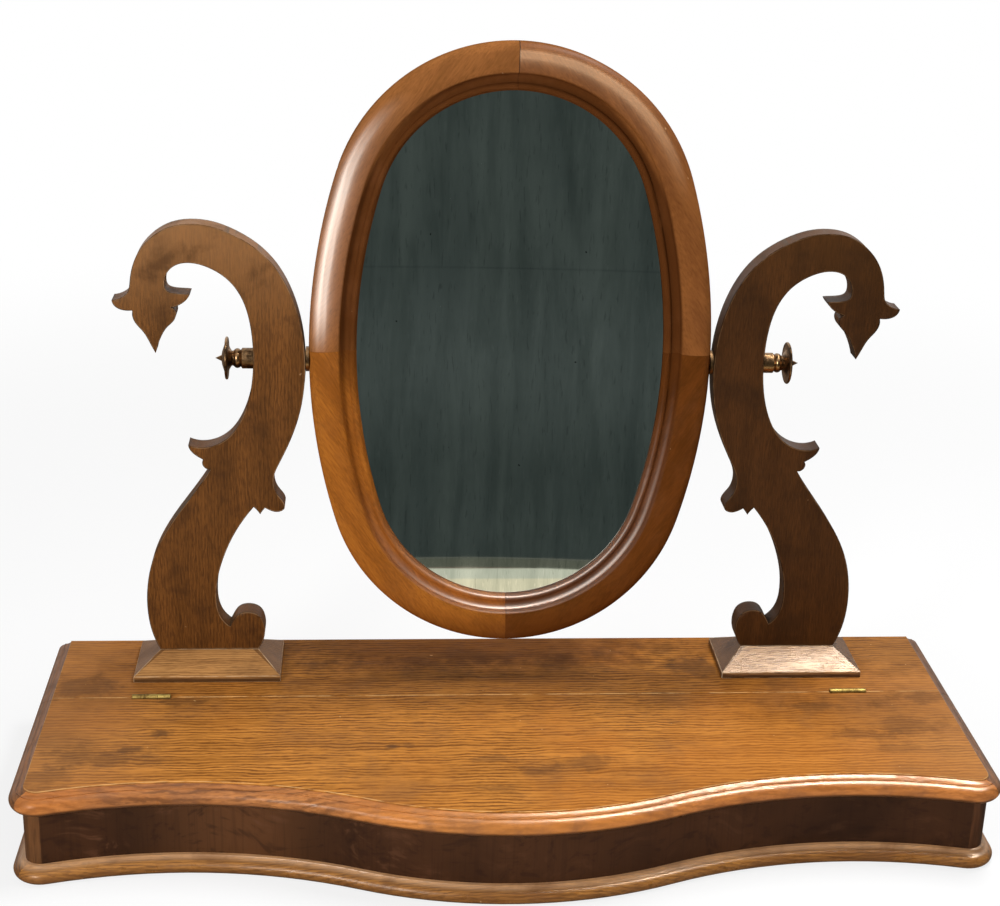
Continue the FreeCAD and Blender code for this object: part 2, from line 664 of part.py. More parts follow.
def frame_arc(kind, start, end):
    """Frame moulding round part of one arc; a turn of 0 points up, and 90 to +X."""
    centre, radius = oval_centre(kind)
    face = Part.Face(frame_profile(radius))
    solid = face.revolve(VEC(0, 0, 0), Y_AXIS, math.degrees(end - start))
    solid.rotate(VEC(0, 0, 0), Y_AXIS, math.degrees(start))
    solid.translate(centre)
    return solid


def frame_quarter(upper, side):
    """One of the frame's four segments, with the room for what is let into it."""
    seam = math.pi / 2
    if upper:
        arcs = [frame_arc("top", 0, OVAL_END_TURN), frame_arc("side", OVAL_END_TURN, seam)]
    else:
        arcs = [frame_arc("side", seam, math.pi - OVAL_END_TURN),
                frame_arc("bottom", math.pi - OVAL_END_TURN, math.pi)]
    tools = frame_dowels() + [nut_barrel(RIGHT, NUT_R)]
    tools += screw_holes(PLATE_SCREW, plate_screw_places(RIGHT))
    tools += screw_holes(BACKBOARD_SCREW, backboard_screw_places())
    return on_side(joined(arcs).cut(tools), side)


def frame_dowels():
    """Dowels across the frame's four seams."""
    half = FRAME_DOWEL_L / 2
    found = []
    for rise in (OVAL_HALF_H - FRAME_DOWEL_IN, FRAME_DOWEL_IN - OVAL_HALF_H):
        start = VEC(-half, PIVOT_Y, OVAL_Z + rise)
        found.append(Part.makeCylinder(FRAME_DOWEL_R, FRAME_DOWEL_L, start, X_AXIS))
    for side in SIDES.values():
        start = VEC(side * (OVAL_HALF_W - FRAME_DOWEL_IN), PIVOT_Y, OVAL_Z - half)
        found.append(Part.makeCylinder(FRAME_DOWEL_R, FRAME_DOWEL_L, start, Z_AXIS))
    return found


def oval_board(inward, front, thickness):
    """Oval sheet inside the frame, its front face at a depth behind the swing axis."""
    edges = []
    spans = [("top", 0, OVAL_END_TURN), ("side", OVAL_END_TURN, math.pi - OVAL_END_TURN),
             ("bottom", math.pi - OVAL_END_TURN, math.pi)]
    for kind, start, end in spans:
        centre, radius = oval_centre(kind)
        reach = radius - inward
        points = [VEC(centre.x + reach * math.sin(turn), PIVOT_Y + front,
                      centre.z + reach * math.cos(turn))
                  for turn in (start, (start + end) / 2, end)]
        edges.append(Part.Arc(*points).toShape())
    whole = edges + [mirrored(edge) for edge in edges]
    sheet = Part.Face(Part.Wire(Part.__sortEdges__(whole)))
    return sheet.extrude(VEC(0, thickness, 0))


def backboard_screw_places():
    """Screws round the backboard, in each quarter, on the oval's end arcs."""
    back = PIVOT_Y + GLASS_BACK + BACKBOARD_T
    reach = OVAL_END_R - BACKBOARD_SCREW_IN
    places = []
    for rise in (OVAL_END_UP, -OVAL_END_UP):
        for angle in BACKBOARD_SCREW_ANGLES:
            turn = math.radians(angle)
            x = reach * math.sin(turn)
            z = OVAL_Z + rise + math.copysign(reach * math.cos(turn), rise)
            places += [(VEC(side * x, back, z), VEC(0, -1, 0)) for side in SIDES.values()]
    return places


def backboard():
    board = oval_board(BACKBOARD_IN, GLASS_BACK, BACKBOARD_T)
    return cut_all(board, screw_holes(BACKBOARD_SCREW, backboard_screw_places()))


# ---- swing pivots and thumb screws -------------------------------------------------
def nut_barrel(side, radius):
    """Cylinder on the swing axis, as deep in the frame's side as the nut."""
    start = VEC(OVAL_HALF_W - NUT_L, PIVOT_Y, PIVOT_Z)
    return on_side(Part.makeCylinder(radius, NUT_L, start, X_AXIS), side)


def plate_screw_places(side):
    places = [VEC(side * (OVAL_HALF_W + PLATE_T), PIVOT_Y, PIVOT_Z + shift)
              for shift in (-PLATE_SCREW_OUT, PLATE_SCREW_OUT)]
    return [(place, VEC(-side, 0, 0)) for place in places]


def pivot_plate(side):
    """Brass plate on the frame's side, with the long nut behind it."""
    edge = VEC(OVAL_HALF_W, PIVOT_Y, PIVOT_Z)
    plate = Part.makeCylinder(PLATE_R, PLATE_T, edge, X_AXIS)
    start = VEC(OVAL_HALF_W - ROD_IN_NUT - PAST, PIVOT_Y, PIVOT_Z)
    bore = Part.makeCylinder(ROD_R + ROD_FIT, NUT_L + PLATE_T, start, X_AXIS)
    whole = joined([nut_barrel(RIGHT, NUT_R), plate])
    tools = [bore] + screw_holes(PLATE_SCREW, plate_screw_places(RIGHT))
    return on_side(whole.cut(tools), side)


def rod(side):
    """Threaded rod of a thumb screw, from the nut to the inside of the knob."""
    start = OVAL_HALF_W - ROD_IN_NUT
    end = SEAT_X + KNOB_GAP + ROD_IN_KNOB
    body = Part.makeCylinder(ROD_R, end - start, VEC(start, PIVOT_Y, PIVOT_Z), X_AXIS)
    rims = [edge for edge in body.Edges if edge.BoundBox.XMax < start + ROD_POINT
            and edge.BoundBox.YLength > ROD_R]
    return on_side(body.makeChamfer(ROD_POINT, rims), side)


def knob(side):
    """Turned brass knob: collar, ring, flared disc and a small point."""
    seat = SEAT_X + KNOB_GAP
    steps = [
        ((0, KNOB_COLLAR[1]),),
        (KNOB_COLLAR,),
        (KNOB_GROOVE,),
        (KNOB_RING_MID, KNOB_RING_END),
        (KNOB_NECK,),
        (KNOB_FLARE_MID, KNOB_RIM),
        (KNOB_RIM_MID, KNOB_RIM_FRONT),
        (KNOB_DISH,),
        (KNOB_STEP,),
        (KNOB_DOME,),
        (KNOB_TIP_BASE,),
        ((KNOB_TIP, 0),),
    ]
    wire = profile_wire((0, 0), steps,
                        lambda along, out: VEC(seat + along, PIVOT_Y, PIVOT_Z + out))
    body = Part.Face(wire).revolve(VEC(seat, PIVOT_Y, PIVOT_Z), X_AXIS, 360)
    return on_side(body.cut(rod(RIGHT)), side)


# ---- every node of the assembly ----------------------------------------------------
def leaning(shape):
    """A piece of the mirror, turned about the swing axis as it stands."""
    shape.rotate(VEC(0, PIVOT_Y, PIVOT_Z), X_AXIS, -MIRROR_LEAN)
    return shape


def mirror_nodes():
    """Pieces that swing with the glass."""
    nodes = {
        "frame_dowels": Part.makeCompound(frame_dowels()),
        "mirror_glass": oval_board(GLASS_IN, GLASS_FRONT, GLASS_T),
        "mirror_backboard": backboard(),
        "backboard_screws": screws(BACKBOARD_SCREW, backboard_screw_places()),
        "pivot_plate_screws": screws(PLATE_SCREW, plate_screw_places(LEFT)
                                     + plate_screw_places(RIGHT)),
    }
    for name, side in SIDES.items():
        nodes[f"upper_{name}_frame"] = frame_quarter(True, side)
        nodes[f"lower_{name}_frame"] = frame_quarter(False, side)
        nodes[f"{name}_pivot_plate"] = pivot_plate(side)
    return {name: leaning(shape) for name, shape in nodes.items()}


def all_nodes():
    """Node name to shape."""
    nodes = {
        "bottom_board": bottom_board(),
        "front_core": front_core(),
        "front_veneer": front_veneer(),
        "back_board": back_board(),
        "front_plinth_moulding": front_moulding(plinth_profile),
        "rear_rail": rear_rail(),
        "lid_board": lid_board(),
        "lid_front_moulding": front_moulding(top_profile),
        "bottom_screws": screws(BOTTOM_SCREW, bottom_screw_places()),
        "support_dowels": Part.makeCompound(dowels(LEFT) + dowels(RIGHT)),
        "block_screws": screws(BLOCK_SCREW,
                               block_screw_places(LEFT) + block_screw_places(RIGHT)),
        "hinge_pins": Part.makeCompound([hinge_pin(LEFT), hinge_pin(RIGHT)]),
        "hinge_rail_screws": screws(HINGE_SCREW, hinge_screw_places(LEFT, 1)
                                    + hinge_screw_places(RIGHT, 1)),
        "hinge_lid_screws": screws(HINGE_SCREW, hinge_screw_places(LEFT, -1)
                                   + hinge_screw_places(RIGHT, -1)),
    }
    for name, side in SIDES.items():
        nodes[f"{name}_corner_post"] = corner_post(side)
        nodes[f"{name}_side_board"] = side_board(side)
        nodes[f"{name}_plinth_moulding"] = on_side(side_moulding(plinth_profile, BACK_Y), side)
        nodes[f"{name}_rail_moulding"] = on_side(
            moulding_straight(top_profile, RAIL_Y, BACK_Y), side)
        nodes[f"{name}_lid_moulding"] = on_side(side_moulding(top_profile, LID_Y), side)
        nodes[f"{name}_block"] = block(side)
        nodes[f"{name}_support"] = support(side)
        nodes[f"{name}_hinge_rail_leaf"] = hinge_leaf(side, 1)
        nodes[f"{name}_hinge_lid_leaf"] = hinge_leaf(side, -1)
        nodes[f"{name}_knob"] = knob(side)
        nodes[f"{name}_knob_rod"] = rod(side)
    nodes.update(mirror_nodes())
    return nodes


def main():
    os.makedirs("parts", exist_ok=True)
    for name, shape in all_nodes().items():
        shape.exportStep(f"parts/{name}.step")
        low, high = shape.BoundBox.ZMin, shape.BoundBox.ZMax
        print(f"{name}: {len(shape.Solids)} solids, valid {shape.isValid()}, "
              f"{shape.Volume / 1000:.2f} cm3, z {low:.1f} to {high:.1f}")


main()
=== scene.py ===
"""Box toilet mirror: woods, polish, brass and old glass, with the studio round them.

Metres, in the part's own frame: X to the right, Y to the back, Z up.
"""
import bpy
import bmesh
import math
from mathutils import Matrix, Vector, kdtree


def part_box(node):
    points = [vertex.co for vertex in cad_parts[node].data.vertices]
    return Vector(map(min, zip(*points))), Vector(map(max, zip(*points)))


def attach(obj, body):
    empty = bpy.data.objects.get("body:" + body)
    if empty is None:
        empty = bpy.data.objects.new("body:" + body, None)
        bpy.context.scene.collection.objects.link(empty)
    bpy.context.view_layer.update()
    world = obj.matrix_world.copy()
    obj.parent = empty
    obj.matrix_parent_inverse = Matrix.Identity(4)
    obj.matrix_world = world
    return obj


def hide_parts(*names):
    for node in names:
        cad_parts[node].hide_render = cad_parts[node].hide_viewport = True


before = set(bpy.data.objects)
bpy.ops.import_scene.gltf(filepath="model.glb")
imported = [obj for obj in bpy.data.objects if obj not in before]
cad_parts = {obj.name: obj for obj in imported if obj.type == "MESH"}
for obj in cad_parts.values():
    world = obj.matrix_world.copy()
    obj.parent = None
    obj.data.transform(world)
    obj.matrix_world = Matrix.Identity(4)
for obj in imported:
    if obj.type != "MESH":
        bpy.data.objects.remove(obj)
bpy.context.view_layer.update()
scene = bpy.context.scene

SIDES = ("left", "right")
QUARTER_TURN = math.pi / 2


def linear(red, green, blue):
    """Colour given as 0 to 255 on the screen, in the renderer's own terms."""
    def one(value):
        share = value / 255
        return share / 12.92 if share <= 0.04045 else ((share + 0.055) / 1.055) ** 2.4
    return one(red), one(green), one(blue), 1.0


# ---- building shader nodes -----------------------------------------------------------
def feed(tree, node, values):
    """Set a node's inputs. A value is a number, a colour, or the socket that feeds one."""
    for key, value in values.items():
        if isinstance(value, bpy.types.NodeSocket):
            tree.links.new(value, node.inputs[key])
        else:
            node.inputs[key].default_value = value


def put(tree, kind, values=None, **settings):
    """Add a node, with its settings and its inputs."""
    node = tree.nodes.new(kind)
    for name, value in settings.items():
        setattr(node, name, value)
    feed(tree, node, values or {})
    return node


def sums(tree, operation, *values):
    """Arithmetic on one, two or three numbers."""
    return put(tree, "ShaderNodeMath", dict(enumerate(values)), operation=operation).outputs[0]


def times(tree, first, second):
    return sums(tree, "MULTIPLY", first, second)


def plus(tree, first, second):
    return sums(tree, "ADD", first, second)


def minus(tree, first, second):
    return sums(tree, "SUBTRACT", first, second)


def vectors(tree, operation, *values):
    """Arithmetic on places and directions. A length comes out as a number."""
    node = put(tree, "ShaderNodeVectorMath", dict(enumerate(values)), operation=operation)
    return node.outputs["Value" if operation == "LENGTH" else "Vector"]


def here(tree):
    """Place on the object, in its own metres."""
    return put(tree, "ShaderNodeTexCoord").outputs["Object"]


def split(tree, place):
    """X, Y and Z of a place."""
    return put(tree, "ShaderNodeSeparateXYZ", {0: place}).outputs


def noise(tree, place, scale, detail=2.0, rough=0.5, twist=0.0):
    """Noise texture, with its Fac and Color outputs."""
    return put(tree, "ShaderNodeTexNoise", {"Vector": place, "Scale": scale, "Detail": detail,
                                            "Roughness": rough, "Distortion": twist}).outputs


def rise(tree, value, low, high, start=0.0, end=1.0):
    """Smooth step from start to end, while the value goes from low to high."""
    node = put(tree, "ShaderNodeMapRange", {0: value, 1: low, 2: high, 3: start, 4: end},
               interpolation_type="SMOOTHSTEP")
    return node.outputs[0]


def between(tree, cloud, smooth, dull):
    """Roughness from smooth to dull, over the middle of a noise's range."""
    return put(tree, "ShaderNodeMapRange", {0: cloud, 1: 0.35, 2: 0.65, 3: smooth,
                                            4: dull}).outputs[0]


def blended(tree, share, first, second, how="MIX"):
    """Colour between two colours."""
    node = put(tree, "ShaderNodeMix", {0: share, 6: first, 7: second}, data_type="RGBA",
               blend_type=how)
    return node.outputs[2]


def tinted(tree, colour, mask, share, tone, how="MIX"):
    """Colour with a tone laid over it: where the mask is 1, at the share given."""
    return blended(tree, times(tree, mask, share), colour, linear(*tone), how)


def attribute(tree, name):
    """Number that the mesh carries at each point."""
    return put(tree, "ShaderNodeAttribute", attribute_name=name).outputs["Fac"]


def new_group(name, inputs, outputs):
    """Shader group with named sockets. Inputs are (name, default), outputs (name, kind)."""
    tree = bpy.data.node_groups.new(name, "ShaderNodeTree")
    kinds = {float: "NodeSocketFloat", tuple: "NodeSocketColor", list: "NodeSocketVector"}
    for label, default in inputs:
        socket = tree.interface.new_socket(label, in_out="INPUT",
                                           socket_type=kinds[type(default)])
        socket.default_value = default
    for label, kind in outputs:
        tree.interface.new_socket(label, in_out="OUTPUT", socket_type=kinds[kind])
    return tree, put(tree, "NodeGroupInput").outputs, put(tree, "NodeGroupOutput").inputs


def place_group(tree, group, values):
    """Add a group to a material, with its named inputs. Gives its outputs."""
    node = put(tree, "ShaderNodeGroup", node_tree=group)
    feed(tree, node, values)
    return node.outputs


# ---- effects that several finishes share ---------------------------------------------
def grain_group():
    """Straight-grained wood along X: soft stripes, fine streaks and open pores."""
    tree, given, out = new_group("wood_grain", [
        ("Place", [0.0, 0.0, 0.0]), ("Waver", 0.004), ("Stripe Scale", 60.0),
        ("Stripe Length", 0.06), ("Pore Scale", 230.0), ("Pore Length", 0.12),
        ("Pore Cover", 0.5), ("Pore Strength", 0.6), ("Ripple Scale", 190.0),
        ("Ripple Strength", 0.0), ("Light", (0.4, 0.2, 0.1, 1.0)),
        ("Dark", (0.2, 0.1, 0.05, 1.0)), ("Pore Colour", (0.05, 0.03, 0.02, 1.0))],
        [("Color", tuple), ("Pores", float)])

    def stretched(place, share):
        scale = put(tree, "ShaderNodeCombineXYZ", {0: share, 1: 1.0, 2: 1.0}).outputs[0]
        return vectors(tree, "MULTIPLY", place, scale)

    drift = noise(tree, stretched(given["Place"], 0.3), 22.0, 2.0)["Color"]
    centred = vectors(tree, "SUBTRACT", drift, (0.5, 0.5, 0.5))
    moved = put(tree, "ShaderNodeVectorMath", {0: centred, "Scale": given["Waver"]},
                operation="SCALE").outputs[0]
    waved = vectors(tree, "ADD", given["Place"], moved)
    stripe = noise(tree, stretched(waved, given["Stripe Length"]), given["Stripe Scale"],
                   3.0, 0.55)["Fac"]
    streak = noise(tree, stretched(waved, given["Pore Length"]), given["Pore Scale"],
                   2.0, 0.6)["Fac"]
    both = plus(tree, times(tree, stripe, 0.62), times(tree, streak, 0.38))
    wood = blended(tree, rise(tree, both, 0.36, 0.64), given["Dark"], given["Light"])
    shifted = vectors(tree, "ADD", waved, (0.31, 0.17, 0.07))
    pore = noise(tree, stretched(shifted, given["Pore Length"]), given["Pore Scale"],
                 1.5, 0.5)["Fac"]
    low = plus(tree, given["Pore Cover"], 0.10)
    open_pore = put(tree, "ShaderNodeMapRange",
                    {0: pore, 1: given["Pore Cover"], 2: low, 3: 0.0, 4: 1.0},
                    interpolation_type="SMOOTHSTEP").outputs[0]
    pored = times(tree, open_pore, given["Pore Strength"])
    wood = blended(tree, pored, wood, given["Pore Colour"])
    across = split(tree, waved)
    wander = noise(tree, stretched(given["Place"], 0.5), 42.0, 4.0, 0.62)["Fac"]
    slope = plus(tree, across["Y"], times(tree, across["Z"], 0.8))
    turns = plus(tree, times(tree, slope, given["Ripple Scale"]), times(tree, wander, 2.6))
    wave = sums(tree, "SINE", times(tree, turns, 2 * math.pi))
    gaps = noise(tree, stretched(given["Place"], 0.16), 170.0, 1.0)["Fac"]
    line = times(tree, rise(tree, wave, 0.0, 0.95), rise(tree, gaps, 0.30, 0.56))
    rippled = times(tree, line, given["Ripple Strength"])
    wood = blended(tree, rippled, wood, given["Pore Colour"])
    crest = times(tree, rise(tree, wave, -0.2, -0.95), given["Ripple Strength"])
    wood = blended(tree, times(tree, crest, 0.6), wood, given["Light"])
    tree.links.new(wood, out["Color"])
    tree.links.new(plus(tree, pored, rippled), out["Pores"])
    return tree


def stain_group():
    """One ragged patch round a middle, 1 inside and 0 outside."""
    tree, given, out = new_group("stain_patch", [
        ("Place", [0.0, 0.0, 0.0]), ("Middle", [0.0, 0.0, 0.0]),
        ("Reach", [0.02, 0.02, 1.0]), ("Ragged", 0.8)], [("Mask", float)])
    away = vectors(tree, "DIVIDE", vectors(tree, "SUBTRACT", given["Place"], given["Middle"]),
                   given["Reach"])
    far = vectors(tree, "LENGTH", away)
    edge = noise(tree, given["Place"], 46.0, 3.0, 0.65)["Fac"]
    torn = times(tree, minus(tree, edge, 0.5), given["Ragged"])
    torn = times(tree, torn, 4.0)
    tree.links.new(rise(tree, plus(tree, far, torn), 1.25, 0.35), out["Mask"])
    return tree


def wear_group():
    """Edge wear: the worn attribute, broken up by noise."""
    tree, given, out = new_group("edge_wear", [
        ("Place", [0.0, 0.0, 0.0]), ("Worn", 0.0), ("Amount", 0.5)], [("Mask", float)])
    broken = noise(tree, given["Place"], 70.0, 4.0, 0.6)["Fac"]
    gate = rise(tree, broken, 0.32, 0.62)
    worn = put(tree, "ShaderNodeMath", {0: times(tree, given["Worn"], gate),
                                        1: given["Amount"]}, operation="MULTIPLY",
               use_clamp=True)
    tree.links.new(worn.outputs[0], out["Mask"])
    return tree


def polish_group():
    """Old polish: cloudy grime, small pale nicks, and an uneven shine."""
    tree, given, out = new_group("old_polish", [
        ("Place", [0.0, 0.0, 0.0]), ("Cloud Scale", 9.0), ("Nick Scale", 160.0),
        ("Smooth", 0.25), ("Dull", 0.5)],
        [("Grime", float), ("Patch", float), ("Nicks", float), ("Roughness", float)])
    broad = noise(tree, given["Place"], 5.5, 2.0, 0.5, 0.2)["Fac"]
    tree.links.new(rise(tree, broad, 0.42, 0.62), out["Patch"])
    cloud = noise(tree, given["Place"], given["Cloud Scale"], 5.0, 0.6, 0.3)["Fac"]
    tree.links.new(rise(tree, cloud, 0.46, 0.72), out["Grime"])
    speck = noise(tree, given["Place"], given["Nick Scale"], 1.0)["Fac"]
    tree.links.new(rise(tree, speck, 0.80, 0.84), out["Nicks"])
    fine = noise(tree, given["Place"], 60.0, 4.0, 0.6)["Fac"]
    uneven = plus(tree, times(tree, cloud, 0.6), times(tree, fine, 0.4))
    tree.links.new(between(tree, uneven, given["Smooth"], given["Dull"]), out["Roughness"])
    return tree


GRAIN, STAIN, WEAR, POLISH = grain_group(), stain_group(), wear_group(), polish_group()


# ---- woods -----------------------------------------------------------------------------
def new_material(name):
    """Empty material, and its node tree."""
    material = bpy.data.materials.new(name)
    material.use_nodes = True
    tree = material.node_tree
    tree.nodes.clear()
    return material, tree


def shader(tree, sockets, fixed):
    """Principled shader, with linked inputs and values that are the same all over."""
    surface = put(tree, "ShaderNodeBsdfPrincipled", {**fixed, **sockets})
    output = put(tree, "ShaderNodeOutputMaterial")
    tree.links.new(surface.outputs[0], output.inputs["Surface"])


def bumpy(tree, height, strength, distance):
    return put(tree, "ShaderNodeBump", {"Strength": strength, "Distance": distance,
                                        "Height": height}).outputs[0]


ENDWISE = (0, 0, QUARTER_TURN)        # turns the grain along Y
UPRIGHT = (0, QUARTER_TURN, 0)        # and along Z
ALONG, HIGH = 0, 2                    # axes of the fades: either way from the middle, and up
WARM_GLOSS = (1.0, 0.84, 0.70, 1.0)   # old polish warms the light that it sends back
WARM_COAT = (1.0, 0.93, 0.86, 1.0)
DULL_SHADE = (120, 112, 112)          # multiplied into the wood under a broad shade
# What eased_scroll marks on the scrolls, and how much of each tone it takes: painted shade on
# the walls of the outline, and dust on the walls that face up.
SCROLL_MARKS = (("side", 0.7), ("dust", 0.5))


def wood(name, light, dark, pore, turn=(0, 0, 0), shift=(0, 0, 0), waver=0.006,
         stripe=(60.0, 0.06), pores=(230.0, 0.12, 0.55, 0.6), ripple=(190.0, 0.0),
         polish=(0.3, 0.5), specular=0.4, coat=0.0, coat_rough=0.2, shine=None,
         bump=0.25, peel=0.0, patch=None, fades=(), recess=None, cloud=9.0, grime=0.35,
         grime_colour=(60, 46, 34), stains=(), stain_colour=(62, 44, 32), shades=(),
         worn=0.5, worn_colour=(205, 165, 120), nicks=0.0, wall_shade_and_dust=()):
    """Polished wood. Its recipe, with the colours in the order in which they are laid:

    light, dark, pore: colours of the grain. stripe is (scale, length), pores are
        (scale, length, cover, strength) and ripple is (scale, strength).
    patch: a second tone in broad clouds, as (colour, share).
    fades: tones that set in along an axis, as (axis, from, to, colour, share).
    recess: a mask that takes the pores' colour, as (mask, share); it carries painted shade.
    cloud, grime, stains, shades: dirt in clouds, ragged patches, and broad painted shadows and
    dull patches.
    worn, nicks: pale edges and specks.
    wall_shade_and_dust: tones of a scroll's walls, as painted shade, and of the dust on the
    upward ones.
    polish: roughness from smooth to dull. shine: mask of the coat.
    """
    material, tree = new_material(name)
    where = here(tree)
    along = put(tree, "ShaderNodeMapping", {"Vector": where, "Rotation": turn,
                                            "Location": shift}).outputs[0]
    grain = place_group(tree, GRAIN, {
        "Place": along, "Waver": waver, "Stripe Scale": stripe[0], "Stripe Length": stripe[1],
        "Pore Scale": pores[0], "Pore Length": pores[1], "Pore Cover": pores[2],
        "Pore Strength": pores[3], "Ripple Scale": ripple[0],
        "Ripple Strength": ripple[1], "Light": linear(*light), "Dark": linear(*dark),
        "Pore Colour": linear(*pore)})
    old = place_group(tree, POLISH, {"Place": where, "Smooth": polish[0], "Dull": polish[1],
                                     "Cloud Scale": cloud})
    colour = grain["Color"]
    if patch:
        patch_colour, share = patch
        colour = tinted(tree, colour, old["Patch"], share, patch_colour)
    for axis, low, high, tone, share in fades:
        level = split(tree, where)[axis]
        if axis == ALONG:
            level = sums(tree, "ABSOLUTE", level)
        colour = blended(tree, rise(tree, level, low, high, 0.0, share), colour,
                         linear(*tone))
    if recess:
        mask, share = recess
        colour = tinted(tree, colour, mask(tree, where), share, pore)
    colour = tinted(tree, colour, old["Grime"], grime, grime_colour)
    for middle, reach, share in stains:
        spot = place_group(tree, STAIN, {"Place": where, "Middle": middle, "Reach": reach})
        colour = tinted(tree, colour, spot["Mask"], share, stain_colour)
    # Painted shadows and broad dull patches, multiplied into the colour.
    for middle, reach, share in shades:
        spot = place_group(tree, STAIN, {"Place": where, "Middle": middle, "Reach": reach,
                                         "Ragged": 0.25})
        colour = tinted(tree, colour, spot["Mask"], share, DULL_SHADE, "MULTIPLY")
    wear = place_group(tree, WEAR, {"Place": where, "Worn": attribute(tree, "worn"),
                                    "Amount": worn})
    colour = blended(tree, wear["Mask"], colour, linear(*worn_colour))
    if nicks:
        colour = tinted(tree, colour, old["Nicks"], nicks, worn_colour)
    # Painted shade on a scroll's walls, and dust on the upward ones.
    for (mark, share), tone in zip(SCROLL_MARKS, wall_shade_and_dust):
        colour = tinted(tree, colour, attribute(tree, mark), share, tone)
    height = times(tree, grain["Pores"], -1.0)
    if peel:
        dimple = noise(tree, where, 800.0, 1.0)["Fac"]
        height = plus(tree, height, times(tree, dimple, peel))
    if shine:
        coat = times(tree, shine(tree, where), coat)
    shader(tree, {"Base Color": colour, "Roughness": old["Roughness"],
                  "Normal": bumpy(tree, height, bump, 0.0004), "Coat Weight": coat},
           {"Specular IOR Level": specular, "Specular Tint": WARM_GLOSS,
            "Coat Roughness": coat_rough, "Coat Tint": WARM_COAT})
    return material


def shaded_end_bevels(side):
    """Mask of a block's two end bevels, darkened as painted shade and as end grain that took
    more stain.
    """
    low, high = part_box(f"{side}_block")
    middle = (low + high) / 2
    spread = (high.x - low.x - high.y + low.y) / 2
    soft = 0.0004

    def mask(tree, where):
        away = vectors(tree, "ABSOLUTE", vectors(tree, "SUBTRACT", where, tuple(middle)))
        x, y, _ = split(tree, away)
        over = minus(tree, minus(tree, x, y), spread)
        return rise(tree, over, -soft, soft)
    return mask


def on_top_board(x, y, along, across, strength):
    """One mark on the top: its middle, how far it reaches, and its strength."""
    return (x, y, TOP_LEVEL), (along, across, 1), strength


TOP_LEVEL = 0.079
# Ragged marks of age.
TOP_STAINS = [on_top_board(*row) for row in (
    (-0.360, 0.065, 0.040, 0.022, 0.45), (-0.340, -0.055, 0.045, 0.016, 0.45),
    (-0.375, -0.085, 0.022, 0.022, 0.40), (-0.287, -0.017, 0.011, 0.007, 0.75),
    (-0.312, -0.042, 0.009, 0.005, 0.55), (-0.278, 0.040, 0.020, 0.008, 0.45),
    (-0.099, -0.042, 0.006, 0.004, 0.75), (-0.085, -0.040, 0.007, 0.005, 0.50),
    (-0.015, -0.062, 0.020, 0.008, 0.42), (0.015, -0.082, 0.022, 0.008, 0.45),
    (0.060, -0.072, 0.028, 0.012, 0.45), (-0.020, -0.108, 0.020, 0.006, 0.35),
    (0.143, -0.005, 0.010, 0.006, 0.45), (0.172, 0.095, 0.020, 0.020, 0.45),
    (0.275, 0.018, 0.040, 0.008, 0.40), (0.300, -0.030, 0.030, 0.010, 0.30),
    (0.345, -0.015, 0.045, 0.018, 0.32), (0.330, -0.055, 0.022, 0.010, 0.28),
    (0.372, 0.035, 0.030, 0.012, 0.35))]
# Painted shadow cast by the mirror on the top behind and below it, and broad dull patches
# elsewhere; the grain still shows under them.
TOP_SHADOWS_AND_PATCHES = [on_top_board(*row) for row in (
    (-0.045, 0.140, 0.260, 0.055, 0.78), (0.020, 0.070, 0.360, 0.060, 0.45),
    (0.350, 0.125, 0.110, 0.050, 0.42), (0.030, -0.090, 0.170, 0.040, 0.10),
    (0.310, 0.000, 0.110, 0.050, 0.30), (-0.350, 0.060, 0.070, 0.060, 0.16))]

TOP = wood("old_polish_on_top", (208, 138, 62), (160, 102, 42), (108, 62, 26), waver=0.004,
           stripe=(70.0, 0.05), pores=(620.0, 0.12, 0.54, 0.5), ripple=(225.0, 0.80),
           polish=(0.42, 0.62), specular=0.04, patch=((188, 113, 44), 0.4),
           fades=[(ALONG, 0.24, 0.40, (158, 118, 82), 0.35)], cloud=14.0, grime=0.45,
           grime_colour=(128, 88, 56), stains=TOP_STAINS, stain_colour=(92, 62, 40),
           shades=TOP_SHADOWS_AND_PATCHES, worn=0.8, worn_colour=(228, 182, 122), nicks=0.5)

# Painted shade on the undersides of the top's mouldings, below their noses.
NOSE_UNDERSIDE_SHADE = [(HIGH, 0.0672, 0.0638, (50, 30, 18), 0.85)]
TOP_MOULDINGS = dict(waver=0.006, stripe=(60.0, 0.08), pores=(700.0, 0.14, 0.54, 0.4),
                     peel=0.6, cloud=30.0, grime=0.6, nicks=1.0)
MOULDING = wood("glossy_moulding", (186, 120, 66), (138, 84, 45), (92, 54, 30),
                ripple=(150.0, 0.6), polish=(0.26, 0.42), specular=0.24,
                patch=((206, 122, 50), 0.35), grime_colour=(112, 72, 48),
                fades=[(ALONG, 0.18, 0.05, (206, 130, 58), 0.45)] + NOSE_UNDERSIDE_SHADE,
                **TOP_MOULDINGS)
MOULDING_ENDWISE = wood("glossy_moulding_endwise", (130, 84, 49), (96, 61, 35),
                        (58, 37, 24), turn=ENDWISE, ripple=(230.0, 0.45),
                        polish=(0.28, 0.44), specular=0.2, grime_colour=(84, 56, 38),
                        fades=NOSE_UNDERSIDE_SHADE, **TOP_MOULDINGS)

